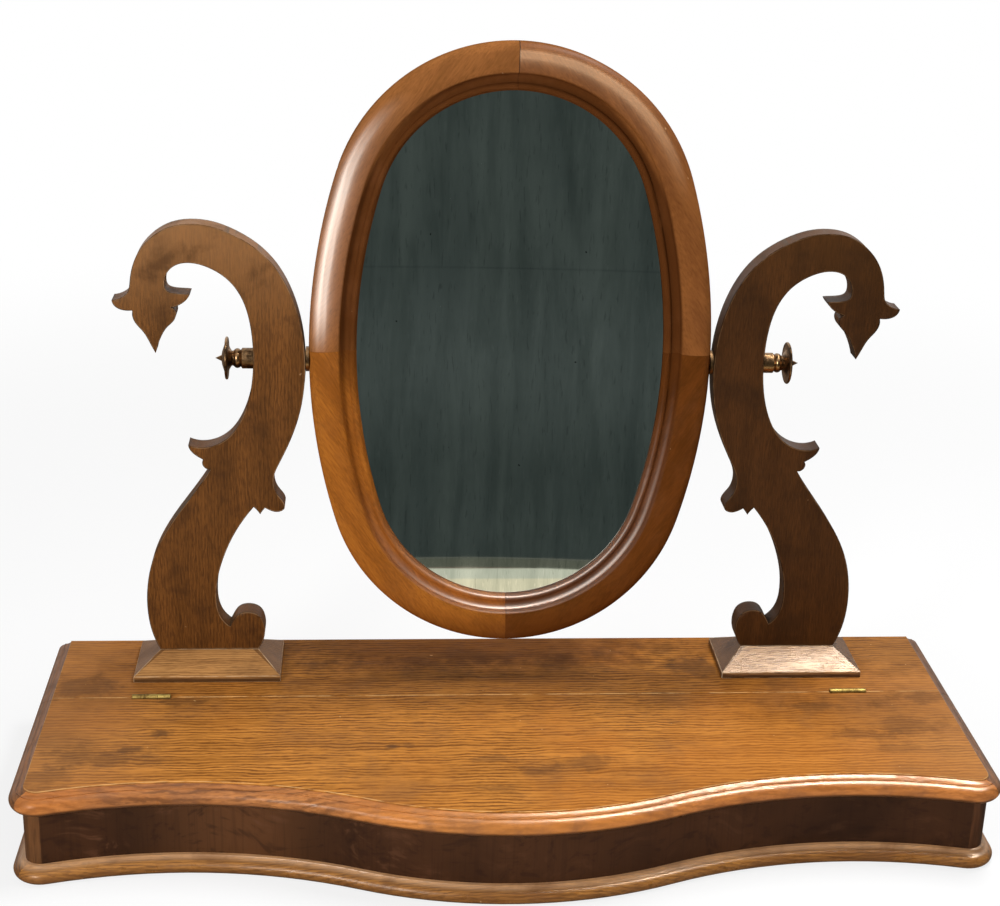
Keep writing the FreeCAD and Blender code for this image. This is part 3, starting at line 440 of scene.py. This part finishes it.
# Painted shade on the lower half of the plinth moulding and darker painted shade at its foot,
# with a painted highlight along its upper edge.
PLINTH_SHADE_AND_HIGHLIGHT = [(HIGH, 0.0110, 0.0045, (88, 52, 23), 0.65),
                (HIGH, 0.0040, 0.0008, (40, 26, 16), 0.85),
                (HIGH, 0.0108, 0.0122, (216, 172, 132), 0.46)]
PLINTH_MOULDINGS = dict(waver=0.006, stripe=(120.0, 0.05), pores=(700.0, 0.08, 0.54, 0.5),
                        ripple=(300.0, 0.4), peel=0.5, fades=PLINTH_SHADE_AND_HIGHLIGHT, cloud=26.0)
PLINTH = wood("plinth_wood", (192, 130, 62), (144, 92, 42), (82, 50, 26),
              polish=(0.24, 0.40), specular=0.42, grime=0.55, grime_colour=(112, 70, 38),
              nicks=0.8, **PLINTH_MOULDINGS)
PLINTH_ENDWISE = wood("plinth_wood_endwise", (150, 100, 50), (112, 72, 36), (66, 42, 24),
                      turn=ENDWISE, polish=(0.28, 0.45), specular=0.35, grime=0.5,
                      grime_colour=(90, 58, 34), **PLINTH_MOULDINGS)

POSTS = dict(turn=UPRIGHT, stripe=(120.0, 0.08), pores=(380.0, 0.08, 0.56, 0.4),
             polish=(0.35, 0.5), specular=0.12)
# Two copies of one wood: the right post is darker as painted shade, since the light falls from
# the left.
POST = {
    "left": wood("left_post_lit_wood", (108, 69, 38), (80, 50, 28), (50, 31, 18), **POSTS),
    "right": wood("right_post_shaded_wood", (84, 50, 28), (62, 37, 22), (42, 26, 16), **POSTS),
}
SIDE_WALL = wood("side_board_wood", (118, 74, 40), (82, 50, 26), (50, 30, 18), turn=ENDWISE,
                 stripe=(50.0, 0.06), pores=(320.0, 0.08, 0.56, 0.4), polish=(0.35, 0.55),
                 specular=0.2)

BARE = dict(polish=(0.6, 0.8), specular=0.25)
PLAIN_BOARDS = dict(pores=(240.0, 0.05, 0.62, 0.4), grime=0.5, **BARE)
SOFTWOOD = wood("bare_softwood", (190, 148, 98), (160, 116, 70), (120, 82, 48),
                stripe=(70.0, 0.03), grime_colour=(96, 72, 48), **PLAIN_BOARDS)
BACK_PANEL = wood("backboard_softwood", (176, 134, 88), (146, 104, 62), (108, 74, 44),
                  turn=UPRIGHT, stripe=(60.0, 0.03), grime_colour=(90, 68, 46),
                  **PLAIN_BOARDS)
DOWEL = wood("dowel_wood", (196, 160, 112), (170, 130, 86), (140, 100, 62), turn=UPRIGHT,
             **BARE)

SCROLLS = dict(turn=UPRIGHT, waver=0.006, stripe=(45.0, 0.10), specular=0.08, peel=0.3,
               worn=1.0)
# The left support takes a lighter wood than the right as painted light from the left, and the
# fades make each lighter towards its top as painted light.
SUPPORT = {
    "left": wood("left_support_lit_wood", (116, 72, 32), (94, 58, 25), (56, 34, 18),
                 pores=(1100.0, 0.10, 0.50, 0.45), ripple=(420.0, 0.25),
                 polish=(0.36, 0.50), fades=[(HIGH, 0.36, 0.52, (164, 118, 76), 0.65)],
                 cloud=30.0, grime=0.6, grime_colour=(62, 38, 20),
                 worn_colour=(170, 132, 94), nicks=0.5,
                 wall_shade_and_dust=((48, 31, 20), (112, 90, 66)), **SCROLLS),
    "right": wood("right_support_shaded_wood", (80, 48, 22), (62, 37, 17), (42, 26, 14),
                  shift=(0.4, 0.2, 0), pores=(1100.0, 0.10, 0.50, 0.30),
                  ripple=(420.0, 0.1), polish=(0.34, 0.48),
                  fades=[(HIGH, 0.40, 0.54, (96, 62, 30), 0.5)],
                  cloud=22.0, grime=0.5, grime_colour=(44, 28, 16),
                  worn_colour=(150, 112, 76), nicks=0.4,
                  wall_shade_and_dust=((36, 24, 16), (88, 69, 50)), **SCROLLS),
}

# Painted shade in the corner between a block and the top.
BLOCKS = dict(waver=0.006, stripe=(90.0, 0.06), peel=0.3, cloud=30.0, worn=0.9,
              fades=[(HIGH, 0.0838, 0.0815, (60, 38, 22), 0.85)])
BLOCK = {
    "left": wood("left_block_wood", (188, 136, 80), (152, 106, 60), (96, 62, 36),
                 pores=(700.0, 0.10, 0.54, 0.4), ripple=(330.0, 0.5), polish=(0.3, 0.42),
                 specular=0.12, recess=(shaded_end_bevels("left"), 0.7), grime=0.4,
                 grime_colour=(100, 68, 40), worn_colour=(214, 182, 142), **BLOCKS),
    "right": wood("right_block_wood", (176, 130, 84), (140, 98, 60), (70, 44, 28),
                  shift=(0.2, 0.1, 0), pores=(900.0, 0.10, 0.52, 0.7),
                  ripple=(420.0, 0.4), polish=(0.24, 0.36), specular=0.15,
                  recess=(shaded_end_bevels("right"), 0.7), grime=0.2,
                  grime_colour=(100, 70, 44), worn_colour=(232, 206, 170), **BLOCKS),
}


def flame_veneer():
    """Dark flame-figured veneer: upright fibres, soft shades and feathered wisps."""
    material, tree = new_material("flame_veneer")
    where = here(tree)
    moved = put(tree, "ShaderNodeMapping", {"Vector": where,
                                            "Location": (0.13, 0, 0)}).outputs[0]

    def scaled(*share):
        return vectors(tree, "MULTIPLY", moved, share)

    shade = noise(tree, scaled(9.0, 9.0, 7.0), 1.0, 3.0, 0.5)["Fac"]
    colour = blended(tree, rise(tree, shade, 0.34, 0.66), linear(46, 28, 18),
                     linear(68, 41, 24))
    across = split(tree, where)["X"]
    pale_middle, pale_reach = -0.225, 0.110
    away = sums(tree, "ABSOLUTE", plus(tree, across, -pale_middle))
    colour = blended(tree, rise(tree, away, pale_reach, 0.0, 0.0, 0.62), colour,
                     linear(100, 63, 36))
    swirl = vectors(tree, "SUBTRACT", noise(tree, scaled(13.0, 13.0, 13.0), 1.0, 1.0, 0.5,
                                            0.5)["Color"], (0.5, 0.5, 0.5))
    swept = vectors(tree, "ADD", scaled(60.0, 60.0, 150.0),
                    vectors(tree, "MULTIPLY", swirl, (9.0, 9.0, 9.0)))
    feather = noise(tree, swept, 1.0, 2.0, 0.6)["Fac"]
    gate = rise(tree, noise(tree, scaled(12.0, 12.0, 12.0), 1.7, 1.0)["Fac"], 0.46, 0.62)
    gate = times(tree, gate, rise(tree, across, 0.02, -0.30, 0.22, 1.0))
    colour = tinted(tree, colour, rise(tree, feather, 0.50, 0.70), gate, (92, 59, 39))
    colour = blended(tree, rise(tree, feather, 0.46, 0.30, 0.0, 0.45), colour,
                     linear(38, 23, 17))
    fibre = noise(tree, scaled(480.0, 480.0, 14.0), 1.0, 2.0, 0.5)["Fac"]
    colour = blended(tree, rise(tree, fibre, 0.50, 0.66, 0.0, 0.20), colour,
                     linear(38, 23, 16))
    old = place_group(tree, POLISH, {"Place": where, "Smooth": 0.3, "Dull": 0.42})
    shader(tree, {"Base Color": colour, "Roughness": old["Roughness"],
                  "Normal": bumpy(tree, fibre, 0.1, 0.0003)},
           {"Specular IOR Level": 0.08, "Specular Tint": WARM_GLOSS})
    return material


# ---- metals and glass ------------------------------------------------------------------
def metal(name, bright, tarnish, cover, smooth, dull):
    """Metal with clouds of tarnish. A lower cover leaves less of it bright."""
    material, tree = new_material(name)
    where = here(tree)
    cloud = noise(tree, where, 90.0, 4.0, 0.6)["Fac"]
    share = rise(tree, cloud, cover, cover + 0.22)
    colour = blended(tree, share, linear(*bright), linear(*tarnish))
    rough = between(tree, cloud, smooth, dull)
    scratch = noise(tree, where, 900.0, 2.0)["Fac"]
    shader(tree, {"Base Color": colour, "Roughness": rough,
                  "Normal": bumpy(tree, scratch, 0.12, 0.0001)}, {"Metallic": 1.0})
    return material


def old_mirror():
    """Old silvered glass: grey-green, with faint upright streaks and a few specks."""
    material, tree = new_material("old_silvered_glass")
    where = here(tree)
    upright = vectors(tree, "MULTIPLY", where, (60.0, 60.0, 5.0))
    streak = noise(tree, upright, 1.0, 4.0, 0.6, 0.6)["Fac"]
    cloud = noise(tree, where, 10.0, 4.0, 0.6)["Fac"]
    tone = plus(tree, times(tree, streak, 0.6), times(tree, cloud, 0.4))
    silver = blended(tree, rise(tree, tone, 0.35, 0.65), linear(206, 212, 208),
                     linear(240, 244, 240))
    scratch = noise(tree, vectors(tree, "MULTIPLY", where, (520.0, 520.0, 44.0)), 1.0, 2.0,
                    0.5, 0.4)["Fac"]
    silver = blended(tree, rise(tree, scratch, 0.60, 0.74, 0.0, 0.40), silver,
                     linear(150, 156, 154))
    silver = blended(tree, rise(tree, scratch, 0.38, 0.28, 0.0, 0.3), silver,
                     linear(255, 255, 252))
    speck = noise(tree, where, 170.0, 1.0)["Fac"]
    silver = blended(tree, rise(tree, speck, 0.81, 0.84), silver, linear(70, 72, 66))
    rough = between(tree, tone, 0.015, 0.03)
    shader(tree, {"Base Color": silver, "Roughness": rough}, {"Metallic": 1.0})
    return material


FRIEZE = flame_veneer()
BRASS = metal("hinge_brass", (176, 152, 84), (110, 86, 46), 0.44, 0.40, 0.60)
OLD_BRASS = metal("aged_brass", (154, 120, 84), (60, 44, 29), 0.42, 0.24, 0.46)
STEEL = metal("dull_steel", (130, 124, 116), (84, 70, 56), 0.5, 0.4, 0.6)
MIRROR = old_mirror()

# ---- the mirror's frame: four quarters, each with its own tone and polish ----------------
OVAL = (0.1695, 0.2565)               # half width and half height of the frame's oval
CHORD = math.atan2(OVAL[1], OVAL[0])  # slant of a quarter's grain, along its chord
# Each quarter's tone holds painted light and shade besides the wood's own colour; the lower
# right is the darkest.
FRAME_TONES_LIT_AND_SHADED = {
    ("upper", "left"): ((152, 97, 52), (130, 82, 42)),
    ("upper", "right"): ((134, 83, 42), (112, 67, 33)),
    ("lower", "left"): ((170, 103, 38), (137, 80, 29)),
    ("lower", "right"): ((100, 55, 20), (80, 43, 14)),
}
FRAME_COAT = {("upper", "left"): 0.6, ("upper", "right"): 0.3, ("lower", "left"): 0.5,
              ("lower", "right"): 0.4}
# Heights between which the polish turns from dull to shining.
FRAME_SHINE = {
    ("upper", "left"): ((0.365, 0.420), (0.590, 0.500)),
    ("upper", "right"): ((0.495, 0.600),),
    ("lower", "left"): ((0.260, 0.160),),
    ("lower", "right"): ((0.360, 0.160),),
}
# Darker towards the bottom of the oval, and dirt in the seam at its top.
BOTTOM_DARKENING = (HIGH, 0.165, 0.112, (92, 50, 16), 0.75)
FRAME_FADES = {
    ("upper", "left"): [],
    ("upper", "right"): [(ALONG, 0.0010, 0.0004, (34, 20, 12), 0.85)],
    ("lower", "left"): [BOTTOM_DARKENING],
    ("lower", "right"): [BOTTOM_DARKENING],
}
ROLL_END = (0.144, 0.231)             # half width and half height where the roll ends
ROLL_SEAM = (1.08, 1.05)              # and the shares of them over which it gives way
COVE_FRONT = 0.0085                   # how far the cove comes before the swing axis
FLAT_SIDE = 0.0060                    # and how far the frame's flat outer side does
# Heights between which the painted shade in the cove sets in.
COVE_SHADE_HEIGHTS = (0.30, 0.40)              # heights between which the cove's dark polish sets in
LEAN = math.radians(5.5)              # the mirror leans back at rest
AXIS = sum((corner / 2 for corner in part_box("left_knob_rod")), Vector())
AXIS.x = 0.0


def on_frame(tree, where):
    """Distance from the oval's middle, 1 where its roll ends, and depth before the axis."""
    x, y, z = split(tree, vectors(tree, "SUBTRACT", where, tuple(AXIS)))
    upward = plus(tree, times(tree, y, math.sin(LEAN)), times(tree, z, math.cos(LEAN)))
    forward = minus(tree, times(tree, z, math.sin(LEAN)), times(tree, y, math.cos(LEAN)))
    oval_place = put(tree, "ShaderNodeCombineXYZ", {
        0: sums(tree, "DIVIDE", x, ROLL_END[0]), 1: sums(tree, "DIVIDE", upward, ROLL_END[1])})
    return vectors(tree, "LENGTH", oval_place.outputs[0]), forward


def inside_roll(tree, where):
    """1 in the cove and on the beads between the frame's roll and the glass."""
    reach, forward = on_frame(tree, where)
    low = rise(tree, forward, COVE_FRONT, COVE_FRONT - 0.002)
    return times(tree, rise(tree, reach, *ROLL_SEAM), low)


def painted_cove_shade(tree, where):
    """Painted shade in the cove, which fades out towards the bottom, where the cove is lit."""
    whole = rise(tree, split(tree, where)["Z"], *COVE_SHADE_HEIGHTS)
    return times(tree, inside_roll(tree, where), whole)


def shine_of(level, side):
    """Mask of the polish that still shines: on the upper rolls, and in the lower coves."""
    def mask(tree, where):
        shining = inside_roll(tree, where)
        if level == "upper":
            forward = on_frame(tree, where)[1]
            front = rise(tree, forward, FLAT_SIDE, FLAT_SIDE + 0.003)
            shining = times(tree, minus(tree, 1.0, shining), front)
        for dull, bright in FRAME_SHINE[level, side]:
            height = split(tree, where)["Z"]
            shining = times(tree, shining, rise(tree, height, dull, bright))
        return shining
    return mask


def frame_wood(level, side):
    light, dark = FRAME_TONES_LIT_AND_SHADED[level, side]
    slant = CHORD if (level == "upper") == (side == "right") else -CHORD
    return wood(f"{level}_{side}_frame_wood", light, dark, (78, 42, 17), turn=(0, -slant, 0),
                shift=(0.3 * len(level + side), 0, 0), waver=0.004, stripe=(60.0, 0.08),
                pores=(800.0, 0.12, 0.56, 0.18), ripple=(360.0, 0.10),
                polish=(0.40, 0.52), specular=0.0, coat=FRAME_COAT[level, side],
                coat_rough=0.47, shine=shine_of(level, side), bump=0.2, peel=0.8,
                fades=FRAME_FADES[level, side], recess=(painted_cove_shade, 0.92), cloud=24.0,
                grime=0.25, grime_colour=(116, 72, 42), worn=0.0, nicks=0.4)


# ---- eased edges -----------------------------------------------------------------------
TOP_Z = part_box("lid_board")[1].z
HINGE_X = sum(corner.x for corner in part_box("right_hinge_lid_leaf")) / 2
HINGE_Y = sum(corner.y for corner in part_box("hinge_pins")) / 2
HINGE_CLEAR = (0.0175, 0.006)         # what stays sharp round a hinge, along and across
SCREW_HOLE_EDGE = 0.003               # longer than the edges of a screw hole
WELD = 2e-6                           # points that are nearer to each other are one
FLAT = math.radians(0.4)              # faces that turn by less are one
CREASE = math.radians(50)             # edges that turn by more are shaded sharp


def merged_copy(node):
    """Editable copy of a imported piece, its loose triangles joined up into faces."""
    mesh = bmesh.new()
    mesh.from_mesh(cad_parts[node].data)
    bmesh.ops.remove_doubles(mesh, verts=mesh.verts, dist=WELD)
    bmesh.ops.dissolve_limit(mesh, angle_limit=FLAT, verts=mesh.verts, edges=mesh.edges)
    return mesh


def dressed(mesh, name, material, body, node):
    """Object for an eased copy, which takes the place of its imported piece."""
    data = bpy.data.meshes.new(name)
    mesh.to_mesh(data)
    mesh.free()
    for polygon in data.polygons:
        polygon.use_smooth = True
    data.set_sharp_from_angle(angle=CREASE)
    data.materials.append(material)
    piece = bpy.data.objects.new(name, data)
    scene.collection.objects.link(piece)
    weighted = piece.modifiers.new("even_shading", "WEIGHTED_NORMAL")
    weighted.keep_sharp = True
    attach(piece, body)
    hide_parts(node)
    return piece


def eased(node, name, width, material, body, chosen, angle=32):
    """Copy of a wooden piece. Its chosen edges past an angle, in degrees, are eased and
    marked as worn."""
    mesh = merged_copy(node)
    edges = [edge for edge in mesh.edges if len(edge.link_faces) == 2
             and edge.calc_face_angle(0) > math.radians(angle) and chosen(edge)]
    spots = []
    for edge in edges:
        start, end = (vertex.co.copy() for vertex in edge.verts)
        steps = max(1, int((end - start).length / width))
        spots += [start.lerp(end, step / steps) for step in range(steps + 1)]
    near = kdtree.KDTree(len(spots))
    for number, spot in enumerate(spots):
        near.insert(spot, number)
    near.balance()
    bmesh.ops.bevel(mesh, geom=edges, offset=width, offset_type="OFFSET", segments=2,
                    profile=0.5, affect="EDGES", clamp_overlap=False)
    worn = mesh.verts.layers.float.new("worn")
    worn_out, whole = 0.5 * width, 0.9 * width
    for vertex in mesh.verts:
        away = near.find(vertex.co)[2]
        vertex[worn] = max(0.0, min(1.0, (whole - away) / (whole - worn_out)))
    return dressed(mesh, name, material, body, node)


def eased_scroll(node, name, width, material):
    """Copy of a fretted scroll: its outline is rounded over at the front and at the back."""
    mesh = merged_copy(node)
    worn, side, dust = (mesh.verts.layers.float.new(mark)
                        for mark in ("worn", "side", "dust"))
    mesh.normal_update()
    for way in (-1, 1):
        flat = max((face for face in mesh.faces if face.normal.y * way > 0.99),
                   key=lambda face: face.calc_area())
        outline = list(flat.verts)
        # The outline's walls are marked for painted shade, and the upward ones for dust.
        for vertex in outline:
            walls = [face.normal.z for face in vertex.link_faces if abs(face.normal.y) < 0.5]
            vertex[side] = 1.0
            vertex[dust] = max(0.0, sum(walls) / max(1, len(walls)))
        faces = bmesh.ops.triangulate(mesh, faces=[flat])["faces"]
        # Each ring of the rounded rim: its points, its depth in widths, and its wear.
        rings = [(outline, 1.0, 0.0)]
        for share, depth, mark in ((0.3, 0.3, 1.0), (0.7, 0.0, 0.0)):
            bmesh.ops.inset_region(mesh, faces=faces, thickness=width * share,
                                   use_boundary=True, use_even_offset=False)
            rim = {vertex for face in faces for edge in face.edges for vertex in edge.verts
                   if any(other not in faces for other in edge.link_faces)}
            for vertex in rim:
                vertex[side] = vertex[dust] = 0.0
            rings.append((rim, depth, mark))
        for ring, depth, mark in rings:
            for vertex in ring:
                vertex.co.y -= way * depth * width
                vertex[worn] = mark
    dressed(mesh, name, material, "case", node)


def on_top(edge):
    """Top arrises of the lid and of the rail, clear of the hinges."""
    middle = (edge.verts[0].co + edge.verts[1].co) / 2
    by_hinge = (abs(abs(middle.x) - HINGE_X) < HINGE_CLEAR[0]
                and abs(middle.y - HINGE_Y) < HINGE_CLEAR[1])
    return all(vertex.co.z > TOP_Z - 1e-5 for vertex in edge.verts) and not by_hinge


def long_edge(edge):
    """Any edge but those of the small round holes."""
    return edge.calc_length() > SCREW_HOLE_EDGE


def at_seam(edge):
    """Ends of a frame quarter: a big flat face at right angles to the grain."""
    return any(face.calc_area() > 1e-4 and abs(face.normal.y) < 0.2
               for face in edge.link_faces)


def finish(material, *nodes):
    """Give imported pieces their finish."""
    for node in nodes:
        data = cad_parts[node].data
        data.materials.clear()
        data.materials.append(material)
        for polygon in data.polygons:
            polygon.material_index = 0


eased("lid_board", "lid_top", 0.0008, TOP, "lid", on_top)
eased("rear_rail", "rail_top", 0.0008, TOP, "case", on_top)
block, oval = {}, {}
for side in SIDES:
    eased_scroll(f"{side}_support", f"{side}_scroll", 0.0010, SUPPORT[side])
    block[side] = eased(f"{side}_block", f"{side}_bevelled_block", 0.0007, BLOCK[side],
                        "case", long_edge, 15)
    for level in ("upper", "lower"):
        oval[level, side] = eased(f"{level}_{side}_frame", f"{level}_{side}_oval", 0.0003,
                                  frame_wood(level, side), "mirror", at_seam,
                                  55)
    finish(MOULDING_ENDWISE, f"{side}_lid_moulding", f"{side}_rail_moulding")
    finish(PLINTH_ENDWISE, f"{side}_plinth_moulding")
    finish(POST[side], f"{side}_corner_post")
    finish(SIDE_WALL, f"{side}_side_board")
    finish(BRASS, f"{side}_hinge_rail_leaf", f"{side}_hinge_lid_leaf")
    finish(OLD_BRASS, f"{side}_pivot_plate", f"{side}_knob", f"{side}_knob_rod")
finish(MOULDING, "lid_front_moulding")
finish(PLINTH, "front_plinth_moulding")
finish(FRIEZE, "front_veneer")
finish(SOFTWOOD, "front_core", "bottom_board", "back_board")
finish(BACK_PANEL, "mirror_backboard")
finish(MIRROR, "mirror_glass")
finish(DOWEL, "support_dowels", "frame_dowels")
finish(STEEL, "block_screws", "bottom_screws", "backboard_screws")
finish(BRASS, "hinge_pins", "hinge_rail_screws", "hinge_lid_screws")
finish(OLD_BRASS, "pivot_plate_screws")


# ---- studio ----------------------------------------------------------------------------
FLOOR_Z = -0.0004


def sheet_mesh(name, rows):
    """Mesh of a grid of points, given row by row."""
    width = len(rows[0])
    points = [point for row in rows for point in row]
    faces = [(r * width + c, r * width + c + 1, (r + 1) * width + c + 1, (r + 1) * width + c)
             for r in range(len(rows) - 1) for c in range(width - 1)]
    data = bpy.data.meshes.new(name)
    data.from_pydata(points, [], faces)
    thing = bpy.data.objects.new(name, data)
    scene.collection.objects.link(thing)
    return thing


def seen_plainly(tree):
    """1 for the camera and for what metal and glass show of the surroundings."""
    path = put(tree, "ShaderNodeLightPath").outputs
    return sums(tree, "MAXIMUM", path["Is Camera Ray"],
                sums(tree, "MAXIMUM", path["Is Glossy Ray"], path["Is Transmission Ray"]))


def pale_floor():
    """Pale floor: it keeps the object's shadow near by, and is plain white far away."""
    reach = 40.0
    pale_to, white_from = 0.75, 1.9
    floor = sheet_mesh("floor", [[(x, y, FLOOR_Z) for x in (-reach, reach)]
                                 for y in (-reach, reach)])
    material, tree = new_material("floor_white")
    far = rise(tree, vectors(tree, "LENGTH", here(tree)), pale_to, white_from)
    near = put(tree, "ShaderNodeBsdfDiffuse", {"Color": (0.93, 0.93, 0.93, 1)}).outputs[0]
    white = put(tree, "ShaderNodeEmission", {"Color": (1, 1, 1, 1),
                                             "Strength": 1.0}).outputs[0]
    pale = put(tree, "ShaderNodeMapRange", {0: far, 3: 0.78, 4: 1.0}).outputs[0]
    share = times(tree, pale, seen_plainly(tree))
    mixed = put(tree, "ShaderNodeMixShader", {0: share, 1: near, 2: white}).outputs[0]
    tree.links.new(mixed, put(tree, "ShaderNodeOutputMaterial").inputs["Surface"])
    floor.data.materials.append(material)


def white_world():
    """White to look at, with a soft light all round."""
    strength = 0.28
    world = bpy.data.worlds.new("studio")
    scene.world = world
    world.use_nodes = True
    tree = world.node_tree
    tree.nodes.clear()
    dim, full = (put(tree, "ShaderNodeBackground", {"Color": (1, 1, 1, 1), "Strength": value})
                 .outputs[0] for value in (strength, 1.0))
    mixed = put(tree, "ShaderNodeMixShader", {0: seen_plainly(tree), 1: dim, 2: full})
    tree.links.new(mixed.outputs[0], put(tree, "ShaderNodeOutputWorld").inputs["Surface"])


def only_reflected(thing, name, paint):
    """Show a card or a cloth in reflections alone, in the colour that paint(tree) gives."""
    for ray in ("camera", "diffuse", "shadow", "transmission", "volume_scatter"):
        setattr(thing, "visible_" + ray, False)
    material, tree = new_material(name)
    glow = put(tree, "ShaderNodeEmission", {"Color": paint(tree), "Strength": 1.0}).outputs[0]
    tree.links.new(glow, put(tree, "ShaderNodeOutputMaterial").inputs["Surface"])
    thing.data.materials.append(material)


def cloth(name, across, along, height, colour):
    """Cloth on the floor before the object."""
    piece = sheet_mesh(name, [[(x, y, height) for x in across] for y in along])
    only_reflected(piece, name + "_shade", lambda tree: linear(*colour))


def curved_card(name, radius, first, last, top):
    """Upright curved card round the object, from one angle to another, in degrees."""
    x, y = 0.0, 0.10
    step = 4
    turns = [math.radians(angle) for angle in range(first, last + 1, step)]
    rows = [[(x + radius * math.sin(turn), y - radius * math.cos(turn), z) for turn in turns]
            for z in (0.0, top)]
    return sheet_mesh(name, rows)


# Marks across the slate card: height, reach, share and colour.
SLATE_MARKS = ((0.2700, 0.1600, 0.6, (74, 81, 79)), (0.0125, 0.0012, 0.5, (150, 148, 132)),
               (0.3855, 0.0015, 0.5, (40, 46, 46)))
SLATE_FOOT = (0.0125, 0.0105, (94, 96, 84))


def slate(tree):
    """Brushed slate grey, with a few lines across and a paler foot."""
    where = here(tree)
    brushed = noise(tree, vectors(tree, "MULTIPLY", where, (18.0, 18.0, 2.2)), 1.0, 5.0, 0.6,
                    0.8)["Fac"]
    colour = blended(tree, rise(tree, brushed, 0.3, 0.7), linear(53, 60, 58),
                     linear(65, 72, 69))
    height = split(tree, where)["Z"]
    for level, reach, share, tone in SLATE_MARKS:
        away = sums(tree, "ABSOLUTE", minus(tree, height, level))
        colour = blended(tree, rise(tree, away, reach, 0.0, 0.0, share), colour,
                         linear(*tone))
    start, full, tone = SLATE_FOOT
    return blended(tree, rise(tree, height, start, full), colour, linear(*tone))


WINDOW_LIGHT = (1.0, 0.93, 0.84)
GOLDEN_LIGHT = (1.0, 0.74, 0.47)


def softbox(name, place, target, size, power, onto=(), tint=WINDOW_LIGHT):
    """Soft lamp. One with pieces named in onto gives a tinted gloss, and only to them."""
    data = bpy.data.lights.new(name, "AREA")
    data.shape = "RECTANGLE"
    data.size, data.size_y = size
    data.energy = power
    lamp = bpy.data.objects.new(name, data)
    lamp.location = place
    lamp.rotation_euler = (Vector(target) - Vector(place)).to_track_quat("-Z", "Y").to_euler()
    scene.collection.objects.link(lamp)
    if onto:
        data.color = tint
        lamp.visible_diffuse = False
        lit = bpy.data.collections.new(name + "_pieces")
        for piece in onto:
            lit.objects.link(piece)
        lamp.light_linking.receiver_collection = lit


pale_floor()
cloth("room_floor", (-3.5, 3.5), (-3.5, 3.5), FLOOR_Z / 2, (118, 104, 90))
cloth("cream_cloth", (-0.5, 0.5), (-0.597, -0.22), FLOOR_Z / 4, (238, 228, 196))
cloth("grey_cloth", (-0.5, 0.5), (-0.653, -0.597), FLOOR_Z / 4, (210, 210, 190))
only_reflected(curved_card("dark_card", 0.76, -12, 36, 0.67), "card_slate", slate)
only_reflected(curved_card("dark_room", 3.6, -100, 100, 3.4), "room_shade",
               lambda tree: linear(70, 62, 56))
white_world()
softbox("overhead_right", (0.62, 0.20, 1.75), (0.62, 0.20, 0.0), (0.40, 0.8), 25)
softbox("window_left", (-1.31, -1.92, 1.04), (-0.1, 0.0, 0.40), (0.6, 0.8), 38)
softbox("window_pane", (-0.66, -1.76, 0.44), (-0.19, 0.08, 0.46), (1.1, 0.5), 330,
        [oval["upper", "left"]])
softbox("side_pane", (-1.64, -1.14, 0.45), (-0.19, 0.08, 0.46), (1.4, 0.5), 100,
        [oval["upper", "left"]])
softbox("toplight", (0.02, -0.50, 1.60), (0.0, 0.09, 0.15), (0.7, 0.5), 330,
        [oval["lower", "left"], oval["lower", "right"]])
softbox("tall_window", (-1.05, -1.15, 1.15), (0.12, 0.08, 0.30), (1.3, 1.3), 290,
        [oval["lower", "right"]])
softbox("fanlight", (0.36, -1.33, 0.84), (0.05, 0.12, 0.61), (0.85, 0.80), 160,
        [oval["upper", "right"]], GOLDEN_LIGHT)
softbox("skylight", (0.72, 0.10, 1.72), (0.40, -0.05, 0.08), (0.5, 0.9), 175,
        [block["right"]] + [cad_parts[node] for node in (
            "lid_front_moulding", "right_lid_moulding", "front_plinth_moulding",
            "right_plinth_moulding")])

# ---- camera: long lens a little above the glass, left of the middle ----------------------
EYE = Vector((-0.1193, -1.3785, 0.8467))
YAW, PITCH, ROLL = 0.1015, 0.3603, 0.0403
ahead = Vector((math.sin(YAW) * math.cos(PITCH), math.cos(YAW) * math.cos(PITCH),
                -math.sin(PITCH)))
sideways = Vector((math.cos(YAW), -math.sin(YAW), 0.0))
over = sideways.cross(ahead)
right = sideways * math.cos(ROLL) + over * math.sin(ROLL)
up = over * math.cos(ROLL) - sideways * math.sin(ROLL)
camera_data = bpy.data.cameras.new("camera")
camera_data.sensor_width = 36.0
camera_data.lens = 66.606
camera_data.shift_x = -0.0451
camera_data.shift_y = -0.0038
camera_data.clip_end = 100.0
camera = bpy.data.objects.new("camera", camera_data)
camera.matrix_world = Matrix.Translation(EYE) @ Matrix((right, up, -ahead)).transposed().to_4x4()
scene.collection.objects.link(camera)
scene.camera = camera

scene.view_settings.view_transform = "Standard"

bpy.context.view_layer.update()
